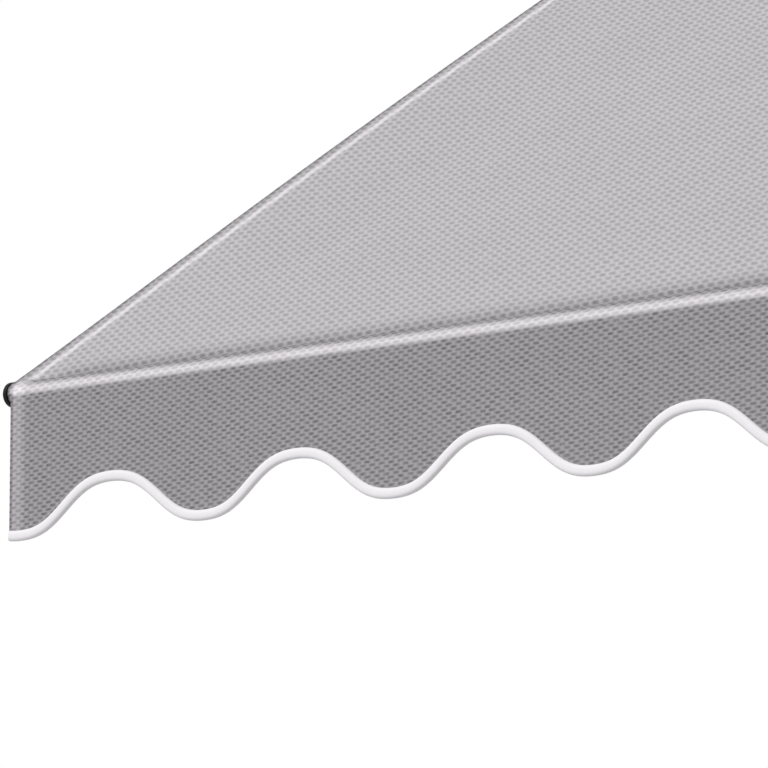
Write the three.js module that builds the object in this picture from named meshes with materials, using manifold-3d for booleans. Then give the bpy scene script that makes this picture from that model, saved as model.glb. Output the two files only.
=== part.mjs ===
// Clamp awning: two telescopic posts that jam between floor and ceiling carry a square bar,
// and the bar carries the cloth roller and a pair of folding arms with the front rail.
// Millimetres. +X runs to the right along the roller, +Y back to the wall, +Z up.
// The origin is the middle of the left foot's underside.
import * as THREE from "three";
import { mergeVertices } from "three/addons/utils/BufferGeometryUtils.js";
import Module from "manifold-3d";

const wasm = await Module();
wasm.setup();

// Fits
const GAP = 0.3; // play between pieces that touch
const OVER = 1; // how far a cut or a join runs past the face it meets
const ROUND = 20; // facets of a round piece
const SMALL_ROUND = 12; // facets of a thin pin or screw
const RING_FACETS = 8; // facets of the gear ring's rod
const ARC_STEPS = 10; // chords of an end plate's half circle
const CORNER_STEPS = 4; // chords of a rounded corner
const HEX = 6;

// Cloth
const VALANCE_WIDTH = 1980;
const WAVE_COUNT = 6;
const WAVE_INSET = 20; // first trough in from the valance's end
const WAVE_PITCH = (VALANCE_WIDTH - 2 * WAVE_INSET) / WAVE_COUNT;
const WAVE_HEIGHT = 64; // crest to trough
const WAVE_FLAT = 0.058; // share of the third harmonic, which broadens crests and troughs
const WAVE_STEPS = 12; // chords that draw one wave
const VALANCE_INSET = 6; // valance in from the cloth's side edge
const CLOTH_WIDTH = VALANCE_WIDTH + 2 * VALANCE_INSET;
const CLOTH_LENGTH = 1500; // from the roller's tangent to the front rail's
const CLOTH_T = 1.2;
const SLOPE = THREE.MathUtils.degToRad(32);
const HEM_WIDTH = 28;
const HEM_T = 0.8;
const VALANCE_DROP = 195; // front rail axis to the lowest point of the binding
const BINDING_WIDTH = 14;
const TAPE_T = 1.4;
const BINDING_FOLD = 3; // tape below the cloth's cut edge

// Posts
const POST_INSET = 256; // post axis in from the cloth's side edge
const POST_R = 21;
const POST_WALL = 2;
const POST_TOP = 2250;
const MAST_PLAY = 1; // between mast and post
const MAST_WALL = 2;
const MAST_LAP = 610; // mast inside the post
const MAST_OUT = 290; // mast above the post
const MAST_CAP_T = 12; // welded end that the jack screw passes
const FOOT_FLARE = 12; // foot's rim outside its socket's fillet
const FOOT_RIM = 7;
const FOOT_PLATE = 10;
const FOOT_SOCKET_WALL = 6;
const FOOT_SOCKET_TOP = 60;
const BUSH_WALL = 5;
const BUSH_SKIRT = 55; // bush below the post's top
const BUSH_LIP = 10; // bush above the post's top
const KNOB_DROP = 25; // knob axis below the post's top
const KNOB_BOSS_R = 11;
const KNOB_BOSS_LENGTH = 10;
const KNOB_SCREW_R = 4;
const KNOB_R = 20;
const KNOB_T = 18;
const KNOB_NECK = 4; // bare screw between boss and knob
const KNOB_LOBES = 6;
const LOBE_STEPS = 5; // chords that draw one lobe
const FINGER_HOLLOW = 5; // depth of the hollows in knobs and hand nuts

// Jack at the top of each mast
const JACK_SCREW_R = 8;
const JACK_SCREW_TAIL = 100; // screw inside the mast
const JACK_NUT_R = 26;
const JACK_NUT_T = 18;
const JACK_NUT_LOBES = 8;
const JACK_OPEN = 25; // bare screw between nut and plate
const JACK_PLATE_R = 40;
const JACK_PLATE_T = 5;
const PAD_RIM = 3;
const PAD_SKIRT = 4;
const PAD_T = 12;

// Clamp, holder and square bar
const BAR = 35;
const BAR_WALL = 2.5;
const BAR_DROP = 120; // bar axis below the post's top
const CLAMP_WALL = 10;
const CLAMP_HALF_HEIGHT = 30;
const CLAMP_EAR_LENGTH = 20;
const CLAMP_EAR_HALF = 14;
const CLAMP_SLOT = 3;
const CLAMP_ROOM = 10.7; // between the clamp's ring and the holder's ears
const LUG_HALF = 8;
const LUG_R = 18;
const LUG_ROOM = 4; // between the lug's nose and the holder
const HOLDER_HALF = 30;
const HOLDER_WALL = 7.5;
const EAR_T = 12;
const EAR_R = 16;
const TILT_BOLT_R = 6;
const TILT_HEAD_R = 10;
const TILT_HEAD_T = 8;

// Roller
const ROLLER_R = 25;
const ROLLER_WALL = 2;
const WOUND_T = 2.7; // cloth left on the roller
const WIND_UP = 5; // what the roll gains when all the cloth is on it
const ROLLER_FORWARD = 7; // roller axis in front of the bar axis
const ROLLER_ROOM = 4; // free height between holder and full roll
const ROLLER_END = 2; // roller past the cloth's edge
const CAP_RIM = 2; // cap flange outside the roll
const CAP_FLANGE_T = 3;
const CAP_PLUG = 25;
const JOURNAL_R = 6;
const PLATE_GAP = 2.7; // between cap flange and end plate
const PLATE_T = 8;
const PLATE_R = 34;
const PLATE_SPIGOT = 30;

// Crank gear, outside the right end plate
const GEAR_LENGTH = 44;
const GEAR_WALL = 3;
const GEAR_FRONT = 26; // housing in front of the roller axis
const GEAR_BACK = 36;
const GEAR_TOP = 26;
const GEAR_BOTTOM = 34;
const GEAR_CORNER = 8;
const WHEEL_R = 14.5;
const WHEEL_T = 22;
const WHEEL_TEETH = 20;
const WHEEL_TOOTH = 2;
const WORM_R = 6;
const WORM_GAP = 0.5;
const WORM_SHAFT_R = 5;
const EYE_R = 12.5; // middle of the ring
const EYE_ROD_R = 3.5;
const EYE_NECK = 8;

// Folding arms
const SHOULDER_INSET = 131; // shoulder axis in from the cloth's side edge
const ARM_REST = THREE.MathUtils.degToRad(12); // each link's lean from straight ahead
const ARM_WIDTH = 26;
const ARM_HEIGHT = 34;
const FOREARM_WIDTH = 24;
const FOREARM_HEIGHT = 30;
const ARM_WALL = 2.5;
const ARM_SPLIT = 1; // profile's side to the line between its pins
const CLOTH_TO_ARM = 28;
const ROLL_TO_ARM = 12; // folded arm to full roll
const ARM_TO_RAIL = 3; // folded arm to front sleeve
const KNUCKLE_R = 14;
const KNUCKLE_ROOM = 4; // fork plate's tip to the other link's full-height part
const KNUCKLE_LENGTH = 50; // pin to the end of the profile
const SPIGOT = 35;
const FORK_IN = 8.3; // half the slot between fork plates
const SHOULDER_IN = 10;
const SHOULDER_PIN_R = 6;
const ELBOW_PIN_R = 5.7;
const WRIST_PIN_R = 4.7;
const SPRING_R = 8;
const SPRING_LENGTH = 330;
const SPRING_TURNS = 10;
const SPRING_WIRE = 2;
const CABLE_R = 2.5;

// Shoulder bracket
const BRACKET_ROOM = 2; // shoulder knuckle to the bracket's web
const BRACKET_OUT = 45; // bracket outwards of its pin
const SADDLE_WALL = 12;
const SADDLE_FLANGE = 5;
const SADDLE_LAP = 10; // flange past the bar's axis

// Front rail
const RAIL_R = 14;
const RAIL_WALL = 1.5;
const RAIL_END = 1; // rail past the cloth's edge
const RAIL_CAP_RIM = 1; // cap outside the sleeve
const RAIL_CAP_T = 7.5;
const RAIL_CAP_DOME = 3;
const RAIL_CAP_PLUG = 22;
const FIST_HALF = 14;
const FIST_PLATE_T = 5;
const FIST_LAP = 6; // block past the rail's axis
const FIST_ROOM = 2; // wrist knuckle to the fist's block
const FIST_NOTCH = 4; // sleeve cut clear of the fist

// Crank, stored in two clips beside the right post
const CRANK_R = 6;
const CRANK_DROP = 230; // hook below the bar axis
const CRANK_LENGTH = 1290;
const CRANK_ARM = 90;
const CRANK_BEND = 18;
const HOOK_BEND = 13;
const HOOK_LIP = 11; // straight end of the hook
const BEND_STEPS = 4; // chords that draw one bend
const CRANK_BUTTON_R = 9;
const CRANK_BUTTON_T = 4;
const GRIP_R = 14;
const GRIP_LENGTH = 105;
const GRIP_ROOM = 22.7; // bare rod between grip and bend
const GRIP_CHAMFER = 3;
const GRIP_WAIST = 2;
const CLIP_WALL = 4.5;
const CLIP_JAW_WALL = 3.2;
const CLIP_REACH = 12.7; // between the clip's ring and its jaw
const CLIP_HEIGHT = 20;
const CLIP_MOUTH = 8;
const CLIP_FROM_END = 140; // clip to the end of the rod's straight part

// Places that follow from the sizes above
const HALF_CLOTH = CLOTH_WIDTH / 2;
const POST_X = HALF_CLOTH - POST_INSET;
const SHOULDER_X = HALF_CLOTH - SHOULDER_INSET;
const FOOT_SEAT = FOOT_PLATE + GAP;
const MAST_R = POST_R - POST_WALL - MAST_PLAY;
const MAST_BOTTOM = POST_TOP - MAST_LAP;
const MAST_TOP = POST_TOP + MAST_OUT;
const BAR_HEIGHT = POST_TOP - BAR_DROP;
const BUSH_R = POST_R + GAP + BUSH_WALL;
const KNOB_BOSS_OUT = BUSH_R + KNOB_BOSS_LENGTH;
const NUT_TOP = MAST_TOP + GAP + JACK_NUT_T;
const JACK_PLATE_Z = NUT_TOP + JACK_OPEN;
const JACK_PLATE_TOP = JACK_PLATE_Z + JACK_PLATE_T;
const PAD_TOP = JACK_PLATE_TOP + GAP + PAD_T;
const CLAMP_R = POST_R + GAP + CLAMP_WALL;
const TILT_Y = -(CLAMP_R + CLAMP_ROOM + EAR_R);
const HOLDER_REAR = TILT_Y - LUG_R - LUG_ROOM;
const BAR_Y = HOLDER_REAR - HOLDER_WALL - BAR / 2;
const EAR_OUT = LUG_HALF + GAP + EAR_T;
const ROLL_R = ROLLER_R + GAP + WOUND_T;
const ROLL_FULL_R = ROLL_R + WIND_UP;
const ROLLER_Y = BAR_Y - ROLLER_FORWARD;
const ROLLER_Z = BAR_HEIGHT + BAR / 2 + HOLDER_WALL + ROLLER_ROOM + ROLL_FULL_R;
const ROLLER_HALF = HALF_CLOTH + ROLLER_END;
const FLANGE_OUT = ROLLER_HALF + GAP + CAP_FLANGE_T;
const PLATE_IN = FLANGE_OUT + PLATE_GAP;
const PLATE_OUT = PLATE_IN + PLATE_T;
const GEAR_IN = PLATE_OUT + GAP;
const GEAR_OUT = GEAR_IN + GEAR_LENGTH;
const WORM_Y = WHEEL_R + WORM_GAP + WORM_R; // worm axis behind the roller axis
const SLEEVE_R = RAIL_R + GAP + CLOTH_T;
const RAIL_HALF = HALF_CLOTH + RAIL_END;
const SHOULDER_Y = -(ROLL_FULL_R + ROLL_TO_ARM + ARM_WIDTH + ARM_SPLIT);
const ARM_Z = ROLL_R - CLOTH_TO_ARM - ARM_HEIGHT / 2;
const WRIST_TO_RAIL = FOREARM_WIDTH + ARM_SPLIT + ARM_TO_RAIL + SLEEVE_R;
const WRIST_Y = WRIST_TO_RAIL - CLOTH_LENGTH;
const LINK = (SHOULDER_Y - WRIST_Y) / (2 * Math.cos(ARM_REST));
const RAIL_Z = ROLL_R - SLEEVE_R;
const RAIL_CAP_R = SLEEVE_R + RAIL_CAP_RIM;
const VALANCE_Y = [-SLEEVE_R, CLOTH_T - SLEEVE_R]; // front and back of the cloth, from the rail's axis
const BRACKET_PLATE_R = KNUCKLE_R + BRACKET_ROOM;
const KNUCKLE_SOLID = BRACKET_PLATE_R + KNUCKLE_ROOM; // where a knuckle gets its full height
const CRANK_ASIDE = POST_R + CLIP_WALL + CLIP_REACH + CLIP_JAW_WALL + CRANK_R + 2 * GAP;
const CRANK_TOP = BAR_HEIGHT - CRANK_DROP;
const CRANK_BOTTOM = CRANK_TOP - CRANK_LENGTH;
const GRIP_LOW = CRANK_BOTTOM + CRANK_BUTTON_T + GAP;
const GRIP_HIGH = GRIP_LOW + GRIP_LENGTH;
const CRANK_ELBOW = GRIP_HIGH + GRIP_ROOM + CRANK_BEND;
const CLIP_HEIGHTS = { upper: CRANK_TOP - CLIP_FROM_END, lower: CRANK_ELBOW + CLIP_FROM_END };

// Finishes
function finish(color, roughness, metalness = 0) {
  return new THREE.MeshStandardMaterial({ color, roughness, metalness });
}
const CLOTH = finish(0xbcbabc, 0.9);
const DARK_CLOTH = finish(0x979497, 0.9);
const TAPE = finish(0xf2f2f2, 0.6);
const COAT = finish(0x3c4043, 0.55, 0.2);
const ALLOY = finish(0xb9bcc0, 0.4, 0.9);
const ZINC = finish(0xa7abad, 0.35, 0.9);
const PLASTIC = finish(0x161616, 0.5);
const RUBBER = finish(0x1d1d1d, 0.85);

// Solids
function solidOf(geometry, matrix = new THREE.Matrix4()) {
  const bare = geometry.index ? geometry.toNonIndexed() : geometry.clone();
  bare.deleteAttribute("normal");
  bare.deleteAttribute("uv");
  bare.applyMatrix4(matrix);
  const merged = mergeVertices(bare, 1e-4);
  const vertProperties = merged.attributes.position.array;
  const triVerts = new Uint32Array(merged.index.array);
  return new wasm.Manifold(new wasm.Mesh({ numProp: 3, vertProperties, triVerts }));
}

function geometryOf(solid) {
  const { vertProperties, triVerts } = solid.getMesh();
  const geometry = new THREE.BufferGeometry();
  geometry.setAttribute("position", new THREE.BufferAttribute(vertProperties, 3));
  geometry.setIndex(new THREE.BufferAttribute(triVerts, 1));
  geometry.computeVertexNormals();
  return geometry;
}

function span(a, b) {
  return a < b ? [a, b] : [b, a];
}

function joined(...solids) {
  return solids.reduce((whole, next) => whole.add(next));
}

function box([x0, x1], [y0, y1], [z0, z1]) {
  const geometry = new THREE.BoxGeometry(x1 - x0, y1 - y0, z1 - z0);
  geometry.translate((x0 + x1) / 2, (y0 + y1) / 2, (z0 + z1) / 2);
  return solidOf(geometry);
}

// A bar of round or polygon section between two points.
function rod(radius, from, to, facets = SMALL_ROUND) {
  const start = new THREE.Vector3(...from);
  const along = new THREE.Vector3(...to).sub(start);
  const geometry = new THREE.CylinderGeometry(radius, radius, along.length(), facets);
  const turn = new THREE.Quaternion();
  turn.setFromUnitVectors(new THREE.Vector3(0, 1, 0), along.clone().normalize());
  const place = new THREE.Matrix4().makeRotationFromQuaternion(turn);
  place.setPosition(start.addScaledVector(along, 0.5));
  return solidOf(geometry, place);
}

// A profile of [radius, height] points turned about the Z axis.
function turned(profile, facets = ROUND) {
  const points = profile.map(([r, z]) => new THREE.Vector2(r, z));
  const solid = points[0].x === 0 && points.at(-1).x === 0;
  if (!solid) points.push(points[0].clone());
  if (!THREE.ShapeUtils.isClockWise(points)) {
    return solidOf(new THREE.LatheGeometry(points, facets).rotateX(Math.PI / 2));
  }
  return solidOf(new THREE.LatheGeometry(points.reverse(), facets).rotateX(Math.PI / 2));
}

// The same, turned about the X axis: points are [radius, x].
function turnedAlongX(profile, facets = ROUND) {
  return turned(profile, facets).rotate([0, 90, 0]);
}

// A flat outline of [x, y] points raised from z0 to z1.
function raised(outline, z0, z1) {
  const shape = new THREE.Shape(outline.map(([x, y]) => new THREE.Vector2(x, y)));
  const geometry = new THREE.ExtrudeGeometry(shape, { depth: z1 - z0, bevelEnabled: false });
  return solidOf(geometry.translate(0, 0, z0));
}

// An outline of [y, z] points raised along X.
function raisedAlongX(outline, x0, x1) {
  return raised(outline, x0, x1).rotate([90, 0, 90]);
}

// An outline of [x, z] points raised along Y.
function raisedAlongY(outline, y0, y1) {
  return raised(outline, -y1, -y0).rotate([90, 0, 0]);
}

function roundedRectangle([y0, y1], [z0, z1], radius) {
  const shape = new THREE.Shape();
  shape.absarc(y1 - radius, z1 - radius, radius, 0, Math.PI / 2);
  shape.absarc(y0 + radius, z1 - radius, radius, Math.PI / 2, Math.PI);
  shape.absarc(y0 + radius, z0 + radius, radius, Math.PI, 1.5 * Math.PI);
  shape.absarc(y1 - radius, z0 + radius, radius, 1.5 * Math.PI, 2 * Math.PI);
  return shape.getPoints(CORNER_STEPS).map(({ x, y }) => [x, y]);
}

// A hand wheel's outline: a circle with finger hollows.
function lobedOutline(radius, lobes) {
  const steps = lobes * LOBE_STEPS;
  return Array.from({ length: steps }, (_, i) => {
    const angle = (i / steps) * 2 * Math.PI;
    const reach = radius - (FINGER_HOLLOW / 2) * (1 - Math.cos(lobes * angle));
    return [reach * Math.cos(angle), reach * Math.sin(angle)];
  });
}

// A toothed wheel's outline.
function toothedOutline(radius, teeth, depth) {
  const step = (2 * Math.PI) / teeth;
  return Array.from({ length: teeth }, (_, i) => i * step).flatMap((angle) =>
    [[0, -depth], [0.3, -depth], [0.45, 0], [0.85, 0]].map(([share, reach]) => [
      (radius + reach) * Math.cos(angle + share * step),
      (radius + reach) * Math.sin(angle + share * step),
    ]),
  );
}

// Scene graph: the middle group holds everything about the awning's middle plane, and the slope
// group sits on the roller's axis with its y axis up the cloth and its z axis out of the cloth.
const clampAwning = new THREE.Group();
const middle = new THREE.Group();
middle.position.x = POST_X;
clampAwning.add(middle);
const slope = new THREE.Group();
slope.position.set(0, ROLLER_Y, ROLLER_Z);
slope.rotation.x = SLOPE;
middle.add(slope);
slope.updateMatrix();

function addPiece(name, solid, material, group = middle) {
  const mesh = new THREE.Mesh(geometryOf(solid), material);
  mesh.name = name;
  group.add(mesh);
}

// A solid modelled in the slope group, carried over to the middle group's axes.
function fromSlope(solid) {
  return solid.transform(slope.matrix.elements);
}

// A [y, z] point of the slope group in the middle group's axes.
function pointFromSlope(y, z) {
  const point = new THREE.Vector3(0, y, z).applyMatrix4(slope.matrix);
  return [point.y, point.z];
}
const [RAIL_WORLD_Y, RAIL_WORLD_Z] = pointFromSlope(-CLOTH_LENGTH, RAIL_Z);

// Posts, modelled about their own axis. Outward is -1 on the left post and 1 on the right.
function lowerTube(outward) {
  const inner = POST_R - POST_WALL;
  const tube = turned([
    [inner, FOOT_SEAT],
    [POST_R, FOOT_SEAT],
    [POST_R, POST_TOP],
    [inner, POST_TOP],
  ]);
  const z = POST_TOP - KNOB_DROP;
  const reach = outward * (POST_R + POST_WALL);
  return tube.subtract(rod(KNOB_SCREW_R + GAP, [outward * MAST_R, 0, z], [reach, 0, z]));
}

function foot() {
  const bore = POST_R + GAP;
  const cup = bore + FOOT_SOCKET_WALL;
  const fillet = cup + FOOT_SOCKET_WALL;
  return turned([
    [0, 0],
    [fillet + FOOT_FLARE, 0],
    [fillet + FOOT_FLARE, FOOT_RIM],
    [fillet, FOOT_PLATE + FOOT_SOCKET_WALL],
    [cup, FOOT_SOCKET_TOP],
    [bore, FOOT_SOCKET_TOP],
    [bore, FOOT_PLATE],
    [0, FOOT_PLATE],
  ]);
}

function guideBush(outward) {
  const inner = POST_R + GAP;
  const seat = POST_TOP + GAP;
  const top = POST_TOP + BUSH_LIP;
  const z = POST_TOP - KNOB_DROP;
  const collar = turned([
    [inner, POST_TOP - BUSH_SKIRT],
    [BUSH_R, POST_TOP - BUSH_SKIRT],
    [BUSH_R, top],
    [MAST_R + GAP, top],
    [MAST_R + GAP, seat],
    [inner, seat],
  ]);
  const at = (x) => [outward * x, 0, z];
  const boss = rod(KNOB_BOSS_R, at(inner + OVER), at(KNOB_BOSS_OUT));
  const bore = rod(KNOB_SCREW_R + GAP, at(0), at(KNOB_BOSS_OUT + OVER));
  return collar.add(boss).subtract(bore);
}

function clampKnob(outward) {
  const z = POST_TOP - KNOB_DROP;
  const headAt = KNOB_BOSS_OUT + KNOB_NECK;
  const outline = lobedOutline(KNOB_R, KNOB_LOBES);
  const head = raised(outline, 0, KNOB_T).rotate([0, outward * 90, 0]);
  const at = (x) => [outward * x, 0, z];
  const screw = rod(KNOB_SCREW_R, at(MAST_R + GAP), at(headAt + OVER));
  return head.translate(at(headAt)).add(screw);
}

function upperTube() {
  const inner = MAST_R - MAST_WALL;
  const bore = JACK_SCREW_R + GAP;
  return turned([
    [inner, MAST_BOTTOM],
    [MAST_R, MAST_BOTTOM],
    [MAST_R, MAST_TOP],
    [bore, MAST_TOP],
    [bore, MAST_TOP - MAST_CAP_T],
    [inner, MAST_TOP - MAST_CAP_T],
  ]);
}

function jackNut() {
  const wheel = raised(lobedOutline(JACK_NUT_R, JACK_NUT_LOBES), MAST_TOP + GAP, NUT_TOP);
  return wheel.subtract(rod(JACK_SCREW_R + GAP, [0, 0, MAST_TOP], [0, 0, NUT_TOP + OVER], ROUND));
}

function jackScrew() {
  return turned([
    [0, MAST_TOP - JACK_SCREW_TAIL],
    [JACK_SCREW_R, MAST_TOP - JACK_SCREW_TAIL],
    [JACK_SCREW_R, JACK_PLATE_Z],
    [JACK_PLATE_R, JACK_PLATE_Z],
    [JACK_PLATE_R, JACK_PLATE_TOP],
    [0, JACK_PLATE_TOP],
  ]);
}

function ceilingPad() {
  const inner = JACK_PLATE_R + GAP;
  const outer = inner + PAD_RIM;
  const seat = JACK_PLATE_TOP + GAP;
  return turned([
    [0, seat],
    [inner, seat],
    [inner, JACK_PLATE_TOP - PAD_SKIRT],
    [outer, JACK_PLATE_TOP - PAD_SKIRT],
    [outer, PAD_TOP - PAD_RIM],
    [outer - PAD_RIM, PAD_TOP],
    [0, PAD_TOP],
  ]);
}

// The clamp grips the post behind and offers a lug for the tilt bolt in front.
function postClamp() {
  const low = BAR_HEIGHT - CLAMP_HALF_HEIGHT;
  const high = BAR_HEIGHT + CLAMP_HALF_HEIGHT;
  const ears = box(
    [-CLAMP_EAR_HALF, CLAMP_EAR_HALF],
    [POST_R + CLAMP_WALL / 2, CLAMP_R + CLAMP_EAR_LENGTH],
    [low, high],
  );
  const lug = box(
    [-LUG_HALF, LUG_HALF],
    [TILT_Y, -POST_R - CLAMP_WALL / 2],
    [BAR_HEIGHT - LUG_R, BAR_HEIGHT + LUG_R],
  );
  const nose = rod(LUG_R, [-LUG_HALF, TILT_Y, BAR_HEIGHT], [LUG_HALF, TILT_Y, BAR_HEIGHT], ROUND);
  const ring = rod(CLAMP_R, [0, 0, low], [0, 0, high], ROUND);
  const bore = rod(POST_R + GAP, [0, 0, low - OVER], [0, 0, high + OVER], ROUND);
  const slot = box(
    [-CLAMP_SLOT / 2, CLAMP_SLOT / 2],
    [0, CLAMP_R + CLAMP_EAR_LENGTH + OVER],
    [low - OVER, high + OVER],
  );
  return joined(ring, ears, lug, nose).subtract(bore).subtract(slot).subtract(tiltHole());
}

function tiltHole() {
  const ends = [-1, 1].map((end) => [end * (EAR_OUT + OVER), TILT_Y, BAR_HEIGHT]);
  return rod(TILT_BOLT_R + GAP, ...ends);
}

// The holder wraps the bar and swings on the tilt bolt between its two ears.
function barHolder() {
  const grip = BAR / 2 + HOLDER_WALL;
  const block = box(
    [-HOLDER_HALF, HOLDER_HALF],
    [BAR_Y - grip, HOLDER_REAR],
    [BAR_HEIGHT - grip, BAR_HEIGHT + grip],
  );
  const ears = [-1, 1].map((side) => {
    const x = span(side * (LUG_HALF + GAP), side * EAR_OUT);
    const z = [BAR_HEIGHT - EAR_R, BAR_HEIGHT + EAR_R];
    const tip = rod(EAR_R, [x[0], TILT_Y, BAR_HEIGHT], [x[1], TILT_Y, BAR_HEIGHT], ROUND);
    return box(x, [HOLDER_REAR - OVER, TILT_Y], z).add(tip);
  });
  return joined(block, ...ears).subtract(barRoom()).subtract(tiltHole());
}

// The space that the bar takes up, with its play.
function barRoom() {
  const half = BAR / 2 + GAP;
  return box(
    [-PLATE_OUT, PLATE_OUT],
    [BAR_Y - half, BAR_Y + half],
    [BAR_HEIGHT - half, BAR_HEIGHT + half],
  );
}

function tiltBolt() {
  const at = (x) => [x, TILT_Y, BAR_HEIGHT];
  const reach = EAR_OUT + GAP;
  const shank = rod(TILT_BOLT_R, at(-reach - OVER), at(reach + OVER));
  const heads = [-1, 1].map((side) =>
    rod(TILT_HEAD_R, at(side * reach), at(side * (reach + TILT_HEAD_T)), HEX),
  );
  return joined(shank, ...heads);
}

function torsionBar() {
  const half = PLATE_IN - GAP;
  const cut = BAR / 2 - BAR_WALL;
  const tube = box(
    [-half, half],
    [BAR_Y - BAR / 2, BAR_Y + BAR / 2],
    [BAR_HEIGHT - BAR / 2, BAR_HEIGHT + BAR / 2],
  );
  return tube.subtract(
    box(
      [-half - OVER, half + OVER],
      [BAR_Y - cut, BAR_Y + cut],
      [BAR_HEIGHT - cut, BAR_HEIGHT + cut],
    ),
  );
}

// Each end plate plugs into the bar and bears the roller.
function endPlate(side) {
  const [from, to] = span(side * PLATE_IN, side * PLATE_OUT);
  const shape = new THREE.Shape();
  const lean = Math.atan2(ROLLER_Z - BAR_HEIGHT, ROLLER_Y - BAR_Y);
  shape.absarc(ROLLER_Y, ROLLER_Z, PLATE_R, lean - Math.PI / 2, lean + Math.PI / 2);
  shape.absarc(BAR_Y, BAR_HEIGHT, PLATE_R, lean + Math.PI / 2, lean + 1.5 * Math.PI);
  const plate = raisedAlongX(shape.getPoints(ARC_STEPS).map(({ x, y }) => [x, y]), from, to);
  const half = BAR / 2 - BAR_WALL - GAP;
  const spigot = box(
    span(side * (PLATE_IN - PLATE_SPIGOT), side * (PLATE_IN + OVER)),
    [BAR_Y - half, BAR_Y + half],
    [BAR_HEIGHT - half, BAR_HEIGHT + half],
  );
  const hole = rod(
    JOURNAL_R + GAP,
    [from - OVER, ROLLER_Y, ROLLER_Z],
    [to + OVER, ROLLER_Y, ROLLER_Z],
  );
  return plate.add(spigot).subtract(hole);
}

// The housing is a box that is open towards the end plate.
function gearHousing() {
  const y = [ROLLER_Y - GEAR_FRONT, ROLLER_Y + GEAR_BACK];
  const z = [ROLLER_Z - GEAR_BOTTOM, ROLLER_Z + GEAR_TOP];
  const shrink = ([low, high]) => [low + GEAR_WALL, high - GEAR_WALL];
  const outside = roundedRectangle(y, z, GEAR_CORNER);
  const inside = roundedRectangle(shrink(y), shrink(z), GEAR_CORNER - GEAR_WALL);
  const shell = raisedAlongX(outside, GEAR_IN, GEAR_OUT)
    .subtract(raisedAlongX(inside, GEAR_IN - OVER, GEAR_OUT - GEAR_WALL));
  const at = [(GEAR_IN + GEAR_OUT) / 2, ROLLER_Y + WORM_Y];
  const bearing = rod(WORM_SHAFT_R + GAP, [...at, z[0] - OVER], [...at, z[0] + GEAR_WALL + OVER]);
  return shell.subtract(bearing);
}

function wormWheel() {
  const centre = (GEAR_IN + GEAR_OUT) / 2;
  const outline = toothedOutline(WHEEL_R, WHEEL_TEETH, WHEEL_TOOTH);
  const wheel = raisedAlongX(outline, centre - WHEEL_T / 2, centre + WHEEL_T / 2);
  const bore = rod(JOURNAL_R + GAP, [GEAR_IN, 0, 0], [GEAR_OUT, 0, 0]);
  return wheel.subtract(bore).translate([0, ROLLER_Y, ROLLER_Z]);
}

// Worm, shaft and the ring that takes the crank's hook.
function gearEye() {
  const low = -GEAR_BOTTOM;
  const high = GEAR_TOP - GEAR_WALL - GAP;
  const ringZ = low - EYE_NECK - EYE_R - EYE_ROD_R;
  const worm = rod(WORM_R, [0, 0, low + GEAR_WALL + GAP], [0, 0, high], SMALL_ROUND);
  const shaft = rod(WORM_SHAFT_R, [0, 0, ringZ + EYE_R], [0, 0, high - OVER], SMALL_ROUND);
  const ring = solidOf(new THREE.TorusGeometry(EYE_R, EYE_ROD_R, RING_FACETS, ROUND))
    .rotate([90, 0, 90]);
  const centre = (GEAR_IN + GEAR_OUT) / 2;
  return joined(worm, shaft, ring.translate([0, 0, ringZ]))
    .translate([centre, ROLLER_Y + WORM_Y, ROLLER_Z]);
}

// Roller pieces, modelled in the slope group about the X axis.
function rollerTube() {
  return turnedAlongX([
    [ROLLER_R - ROLLER_WALL, -ROLLER_HALF],
    [ROLLER_R, -ROLLER_HALF],
    [ROLLER_R, ROLLER_HALF],
    [ROLLER_R - ROLLER_WALL, ROLLER_HALF],
  ]);
}

function rollerCap(side, journalEnd) {
  const plug = ROLLER_R - ROLLER_WALL - GAP;
  const cap = turnedAlongX([
    [0, ROLLER_HALF - CAP_PLUG],
    [plug, ROLLER_HALF - CAP_PLUG],
    [plug, ROLLER_HALF + GAP],
    [ROLL_R + CAP_RIM, ROLLER_HALF + GAP],
    [ROLL_R + CAP_RIM, FLANGE_OUT],
    [JOURNAL_R, FLANGE_OUT],
    [JOURNAL_R, journalEnd],
    [0, journalEnd],
  ]);
  return side > 0 ? cap : cap.rotate([0, 180, 0]);
}

function woundCloth() {
  return turnedAlongX([
    [ROLLER_R + GAP, -HALF_CLOTH],
    [ROLL_R, -HALF_CLOTH],
    [ROLL_R, HALF_CLOTH],
    [ROLLER_R + GAP, HALF_CLOTH],
  ]);
}

// The stretched cloth ends just clear of the roll behind and of the sleeve in front.
function canopy() {
  const clear = (radius) => Math.sqrt((radius + GAP) ** 2 - (radius - CLOTH_T) ** 2);
  const back = -clear(ROLL_R);
  const front = clear(SLEEVE_R) - CLOTH_LENGTH;
  const under = ROLL_R - CLOTH_T;
  const sheet = box([-HALF_CLOTH, HALF_CLOTH], [front, back], [under, ROLL_R]);
  const hems = [-1, 1].map((side) => {
    const x = span(side * HALF_CLOTH, side * (HALF_CLOTH - HEM_WIDTH));
    return box(x, [front + HEM_WIDTH, back - HEM_WIDTH], [under - HEM_T, under + HEM_T / 2]);
  });
  return joined(sheet, ...hems);
}

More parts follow.
